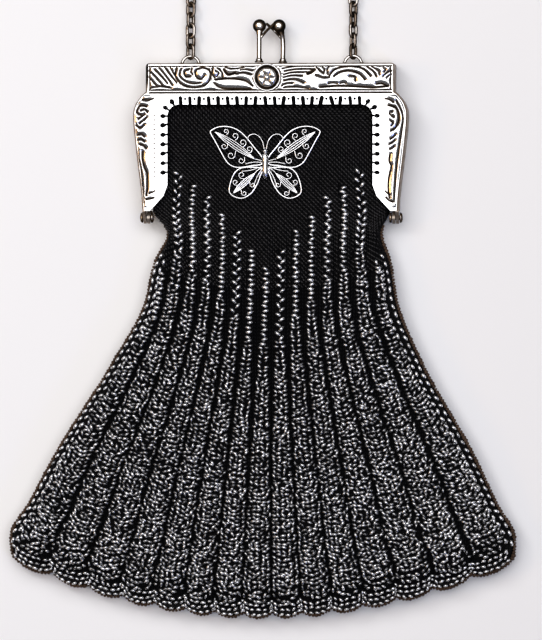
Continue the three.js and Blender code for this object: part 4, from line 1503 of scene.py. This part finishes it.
makeLoops()
for armName, arm in claspArms.items():
    makeClasp(f"{armName}Clasp", arm)
makeHinge("leftHinge", "hinge_left", -1)
makeHinge("rightHinge", "hinge_right", 1)
print("clasp, loops and hinges made")


# Sewing thread through the flange

thread = {
    "radius": 0.7,
    "backRadius": 0.32,
    "fan": 0.12,
    "stand": 0.42,
    "uneven": 0.06,
    "straight": -0.9,  # holes whose way to the opening points further down than this are along the top
    # reach from the hole to the opening; height over the sheet, in stands where it is above; girth in radii
    "top": [(-0.4, -0.9, 1.1), (-0.35, -0.1, 1.1), (0.0, 1.0, 1.05), (1.2, 1.1, 1.0), (1.95, 0.7, 0.95),
            (2.35, -0.5, 0.9), (2.5, -1.0, 0.9)],
    "side": [(-0.05, -0.9, 0.8), (0.0, -0.1, 1.0), (0.35, 1.0, 1.2), (0.85, 1.0, 1.05), (1.25, 0.8, 0.55),
             (2.1, 0.4, 0.5), (2.4, -0.8, 0.5)],
}


def makeThreads(name, place, radius):
    bm = bmesh.new()
    for (x, y), (inX, inY) in sewingHoles():
        skew = rng.normal(0, thread["fan"])
        alongX, alongY = inX - inY * skew, inY + inX * skew
        girth = radius * rng.normal(1.0, thread["uneven"])
        line = []
        for reach, height, share in thread["top" if inY < thread["straight"] else "side"]:
            z = metal["depth"] + (height * thread["stand"] * radius if height > 0 else height)
            line.append((x + reach * alongX, y + reach * alongY, z, share))
        line = smoothLine(line, steps=2)
        sweep(bm, line[:, :3], list(girth * line[:, 3]), sides=7)
    tidyMesh(bm)
    addPiece(name, bm, blackYarn, place=place)


makeThreads("frontThreads", toFront, thread["radius"])
makeThreads("backThreads", toBack, thread["backRadius"])
print("flange sewn")


# Chain of interlocked oval links

chainLinks = {
    "wire": 0.58,
    "half": 1.4,
    "straight": 1.05,
    "pitch": 3.72,
    "start": 9.35,
    "lieY": 34.0,  # where the chain has come down to the surface
    "lieZ": 1.95,
    "bendY": 116.2,
    "drop": 12,  # points of the route down to the surface
    "probe": 1.0,  # mm to each side that a link's direction is read over
    "dark": (0.15, 0.5),  # tarnish on a link's upper side
    "roll": (0.75, -0.82, 0.2),  # how links lie over to one side and the other, and how unevenly
}


def chainRoute():
    x, start, lie, count = handleLoops["x"], chainLinks["start"], chainLinks["lieY"], chainLinks["drop"]
    ys = np.linspace(start, lie, count)
    t = (ys - start) / (lie - start)
    zs = handleLoops["z"] + (chainLinks["lieZ"] - handleLoops["z"]) * t * t * (3 - 2 * t)
    left = np.column_stack([np.full(count, -x), ys, zs])
    turn = arc(0, chainLinks["bendY"], x, 180, 0, steps=60)
    bend = np.column_stack([turn, np.full(len(turn), chainLinks["lieZ"])])
    right = left[::-1] * np.array([-1.0, 1.0, 1.0])
    return np.concatenate([left, bend, right])


def makeChain():
    proto = bmesh.new()
    top = arc(0, chainLinks["straight"], chainLinks["half"], 0, 180, steps=8)
    oval = np.concatenate([top, -top])
    sweep(proto, [(x, y, 0.0) for x, y in oval], chainLinks["wire"], sides=8, closed=True)
    tidyMesh(proto)
    normals = np.array([v.normal for v in proto.verts])
    route = chainRoute()
    long = lengthAlong(route)[-1]
    count = round(long / chainLinks["pitch"]) + 1
    spots = np.linspace(0.0, long, count)
    probe = chainLinks["probe"]
    along = unit(pointsAlong(route, spots + probe) - pointsAlong(route, spots - probe))
    side = unit(np.cross(along, [0.0, 0.0, 1.0]))
    up = np.cross(side, along)
    one, other, uneven = chainLinks["roll"]
    roll = np.where(np.arange(count) % 2 == 0, one, other) + rng.normal(0, uneven, count)
    across = side * np.cos(roll)[:, None] + up * np.sin(roll)[:, None]
    frames = turnedFrames(pointsAlong(route, spots), across, along, np.cross(across, along))
    worn = rng.uniform(*chainLinks["dark"], (count, 1))
    # painted shade on each link's sides, over the link's own random tarnish
    dark = np.maximum(worn, sideShade(frames[:, 2, :3] @ normals.T))
    mesh = joinCopies("chainLinks", proto, frames, "patinaAndShade", dark)
    addMetal("chainLinks", mesh, ("chain",))
    print("chain links:", count)


makeChain()


# Filigree butterfly: the right wings, measured from the middle of the body

flutter = {
    "place": (-1.62, -30.1, 11.15),
    "rim": 0.32,
    "wire": 0.19,
    "curl": 0.2,
    "curlPoints": 15,
    "curlTurn": (0.7, 2.2 * math.pi),  # where a curl starts, from its stem, and how far it turns
    "curlEye": 0.3,  # share of the radius that it ends on
    "lift": 0.35,  # of the wing tips
    "span": 19.0,
    "vaneWires": (-1.0, -0.35, 0.35, 1.0),  # how far each wire of a vane bows
    "vaneBelly": 0.38,  # where along a vane it bows most
    "vaneNeck": (0.75, 0.8),  # where it narrows, and the share of the bow there
    "feelerWire": 0.2,
    "feelerZ": 0.1,
    "feelerTip": 0.36,
    "head": 0.85,
    "headY": 4.5,
    "bodyZ": 0.45,
    # radius and place along the body
    "body": ((0.0, -5.4), (0.4, -5.2), (0.85, -4.0), (1.1, -2.4), (0.9, -0.9), (1.2, 0.6), (1.25, 2.0),
             (0.9, 3.4), (0.6, 3.8), (0.0, 3.9)),
}
wings = [
    ((1.1, 2.2), (4.1, 6.0), (7.0, 9.6), (9.8, 11.9), (13.0, 13.0), (16.3, 12.9), (18.7, 11.8), (19.2, 10.8),
     (17.6, 8.0), (15.5, 4.1), (13.4, 0.6), (11.0, -1.0), (8.0, -1.2), (4.6, -0.6), (1.3, -0.1)),
    ((1.1, -1.8), (1.7, -4.1), (3.0, -7.4), (5.1, -10.4), (8.0, -12.0), (10.9, -11.4), (12.6, -9.7),
     (12.1, -6.2), (10.6, -3.0), (8.2, -1.4), (4.6, -1.2)),
]
# a vane is a leaf of bowed wires from root to tip
vanes = [
    {"root": (3.6, 1.6), "tip": (17.6, 11.2), "bow": 1.05},
    {"root": (3.6, -3.2), "tip": (11.2, -10.2), "bow": 0.9},
]
ribs = [
    ((1.0, 1.0), (2.4, 1.4), (3.8, 1.7)),
    ((1.0, 0.5), (4.0, 0.6), (7.2, 0.0)),
    ((1.0, -1.2), (2.6, -2.2), (3.8, -3.3)),
    ((1.0, -1.6), (2.9, -4.6), (4.4, -8.6)),
    ((1.0, -0.9), (5.0, -2.2), (8.4, -2.6)),
]
# small spirals on stems from the vanes: hand 1 turns anticlockwise
curls = [
    {"stem": (6.6, 3.2), "eye": (5.6, 5.1), "radius": 1.2, "hand": -1},
    {"stem": (9.0, 5.0), "eye": (7.9, 7.4), "radius": 1.35, "hand": -1},
    {"stem": (11.6, 7.2), "eye": (10.6, 9.7), "radius": 1.25, "hand": -1},
    {"stem": (14.2, 9.2), "eye": (13.8, 11.3), "radius": 1.0, "hand": -1},
    {"stem": (7.2, 3.0), "eye": (8.4, 1.2), "radius": 1.2, "hand": 1},
    {"stem": (10.0, 5.6), "eye": (12.0, 3.0), "radius": 1.45, "hand": 1},
    {"stem": (13.0, 8.0), "eye": (14.4, 6.2), "radius": 1.2, "hand": 1},
    {"stem": (6.0, -5.4), "eye": (8.2, -3.9), "radius": 1.3, "hand": 1},
    {"stem": (8.6, -7.8), "eye": (10.4, -6.4), "radius": 1.05, "hand": 1},
    {"stem": (5.6, -5.4), "eye": (4.4, -7.3), "radius": 1.0, "hand": -1},
    {"stem": (8.6, -8.4), "eye": (7.4, -10.2), "radius": 1.0, "hand": -1},
]
feeler = ((0.3, 4.6), (0.9, 7.6), (2.2, 9.6), (4.0, 10.4), (5.6, 9.9), (6.2, 8.9))


def raiseWire(points):
    # wings lift a little towards their tips
    return [(x, y, flutter["lift"] * (x / flutter["span"]) ** 2) for x, y in points]


def addWing(bm):
    neckAt, neckBow = flutter["vaneNeck"]
    for outline in wings:
        sweep(bm, raiseWire(smoothLine(outline, 4, closed=True)), flutter["rim"], sides=7, closed=True)
    for vane in vanes:
        root, tip = np.array(vane["root"]), np.array(vane["tip"])
        aside = np.array([root[1] - tip[1], tip[0] - root[0]])
        aside = aside / np.linalg.norm(aside) * vane["bow"]
        for share in flutter["vaneWires"]:
            belly = root + (tip - root) * flutter["vaneBelly"] + aside * share
            neck = root + (tip - root) * neckAt + aside * share * neckBow
            sweep(bm, raiseWire(smoothLine([root, belly, neck, tip], steps=5)), flutter["wire"], sides=6)
    for rib in ribs:
        sweep(bm, raiseWire(smoothLine(rib, steps=4)), flutter["wire"], sides=6)
    first, turns = flutter["curlTurn"]
    for curl in curls:
        stem, eye = np.array(curl["stem"]), np.array(curl["eye"])
        start = math.atan2(*(stem - eye)[::-1]) + curl["hand"] * first
        turn = start + curl["hand"] * np.linspace(0, turns, flutter["curlPoints"])
        reach = curl["radius"] * np.linspace(1.0, flutter["curlEye"], flutter["curlPoints"])
        spiral = eye + np.column_stack([reach * np.cos(turn), reach * np.sin(turn)])
        sweep(bm, raiseWire(np.concatenate([[stem], spiral])), flutter["curl"], sides=5)
    line = [(x, y, flutter["feelerZ"]) for x, y in smoothLine(feeler, steps=4)]
    sweep(bm, line, flutter["feelerWire"], sides=6)
    addBall(bm, flutter["feelerTip"], Matrix.Translation(line[-1]), around=8, rings=6)


def makeButterfly():
    bm = bmesh.new()
    addWing(bm)
    half = bpy.data.meshes.new("halfButterfly")
    bm.to_mesh(half)
    other = bmesh.new()
    other.from_mesh(half)
    bmesh.ops.scale(other, vec=(-1, 1, 1), verts=other.verts)
    bmesh.ops.reverse_faces(other, faces=other.faces)
    other.to_mesh(half)
    other.free()
    bm.from_mesh(half)
    bpy.data.meshes.remove(half)
    lying = Matrix.Translation((0, 0, flutter["bodyZ"])) @ Matrix.Rotation(-math.pi / 2, 4, "X")
    lathe(bm, flutter["body"], steps=16, place=lying)
    headPlace = Matrix.Translation((0, flutter["headY"], flutter["bodyZ"]))
    addBall(bm, flutter["head"], headPlace, around=14, rings=10)
    tidyMesh(bm)
    addMetal("butterflyWire", bm, ("butterfly",), Matrix.Translation(flutter["place"]))
    print("butterfly made")


makeButterfly()


# Edging of dark yarn along the hem and the side seams, whose brown also paints the shadow line along them

edging = {
    "pitch": 1.15,
    "radius": 0.68,
    "size": (1.0, 1.2, 1.4),  # along the edge, outwards and up, in radii
    "faces": (7, 5),
    "out": 0.1,
    "from": 58.0,
    "step": 0.5,  # mm between the points that the sides are measured over
    "probes": 2400,  # and how many along the hem
    "wavy": 0.15,
    "uneven": 0.1,
}


def makeEdging():
    sides = np.arange(edging["from"], hemDown, edging["step"])
    flute = np.linspace(0.0, bag["flutes"], edging["probes"])
    # down the left side, along the hem and up the right side
    flute = np.concatenate([np.zeros(len(sides)), flute, np.full(len(sides), float(bag["flutes"]))])
    down = np.concatenate([sides, np.full(edging["probes"], hemDown), sides[::-1]])
    line = bagPoint(flute, down, 1.0)
    line[:, 2] = bagValue("mid", down)
    place = pointsAlong(line, np.arange(0.0, lengthAlong(line)[-1], edging["pitch"]))
    count = len(place)
    along = unit(np.gradient(place, axis=0))
    up = np.tile([0.0, 0.0, 1.0], (count, 1))
    outward = unit(np.cross(along, up))
    place = place + outward * edging["out"]
    place[:, 2] += rng.normal(0, edging["wavy"], count)
    size = edging["radius"] * rng.normal(1.0, edging["uneven"], (count, 1))
    # the first axis runs back along the edge, so that the tufts' faces look outwards
    frames = turnedFrames(place, -along * size, outward * size, up * size)
    mesh = joinCopies("yarnEdging", smallShape(*edging["faces"], edging["size"]), frames)
    addPiece("yarnEdging", mesh, hemYarnAndShade)


makeEdging()
print("hem edged")


# Floor

floorMesh = bpy.data.meshes.new("floor")
floorBm = bmesh.new()
bmesh.ops.create_grid(floorBm, x_segments=2, y_segments=2, size=backdrop["half"])
floorBm.to_mesh(floorMesh)
floorBm.free()
floor = bpy.data.objects.new("floor", floorMesh)
scene.collection.objects.link(floor)
floorMesh.materials.append(makePaleFloor())
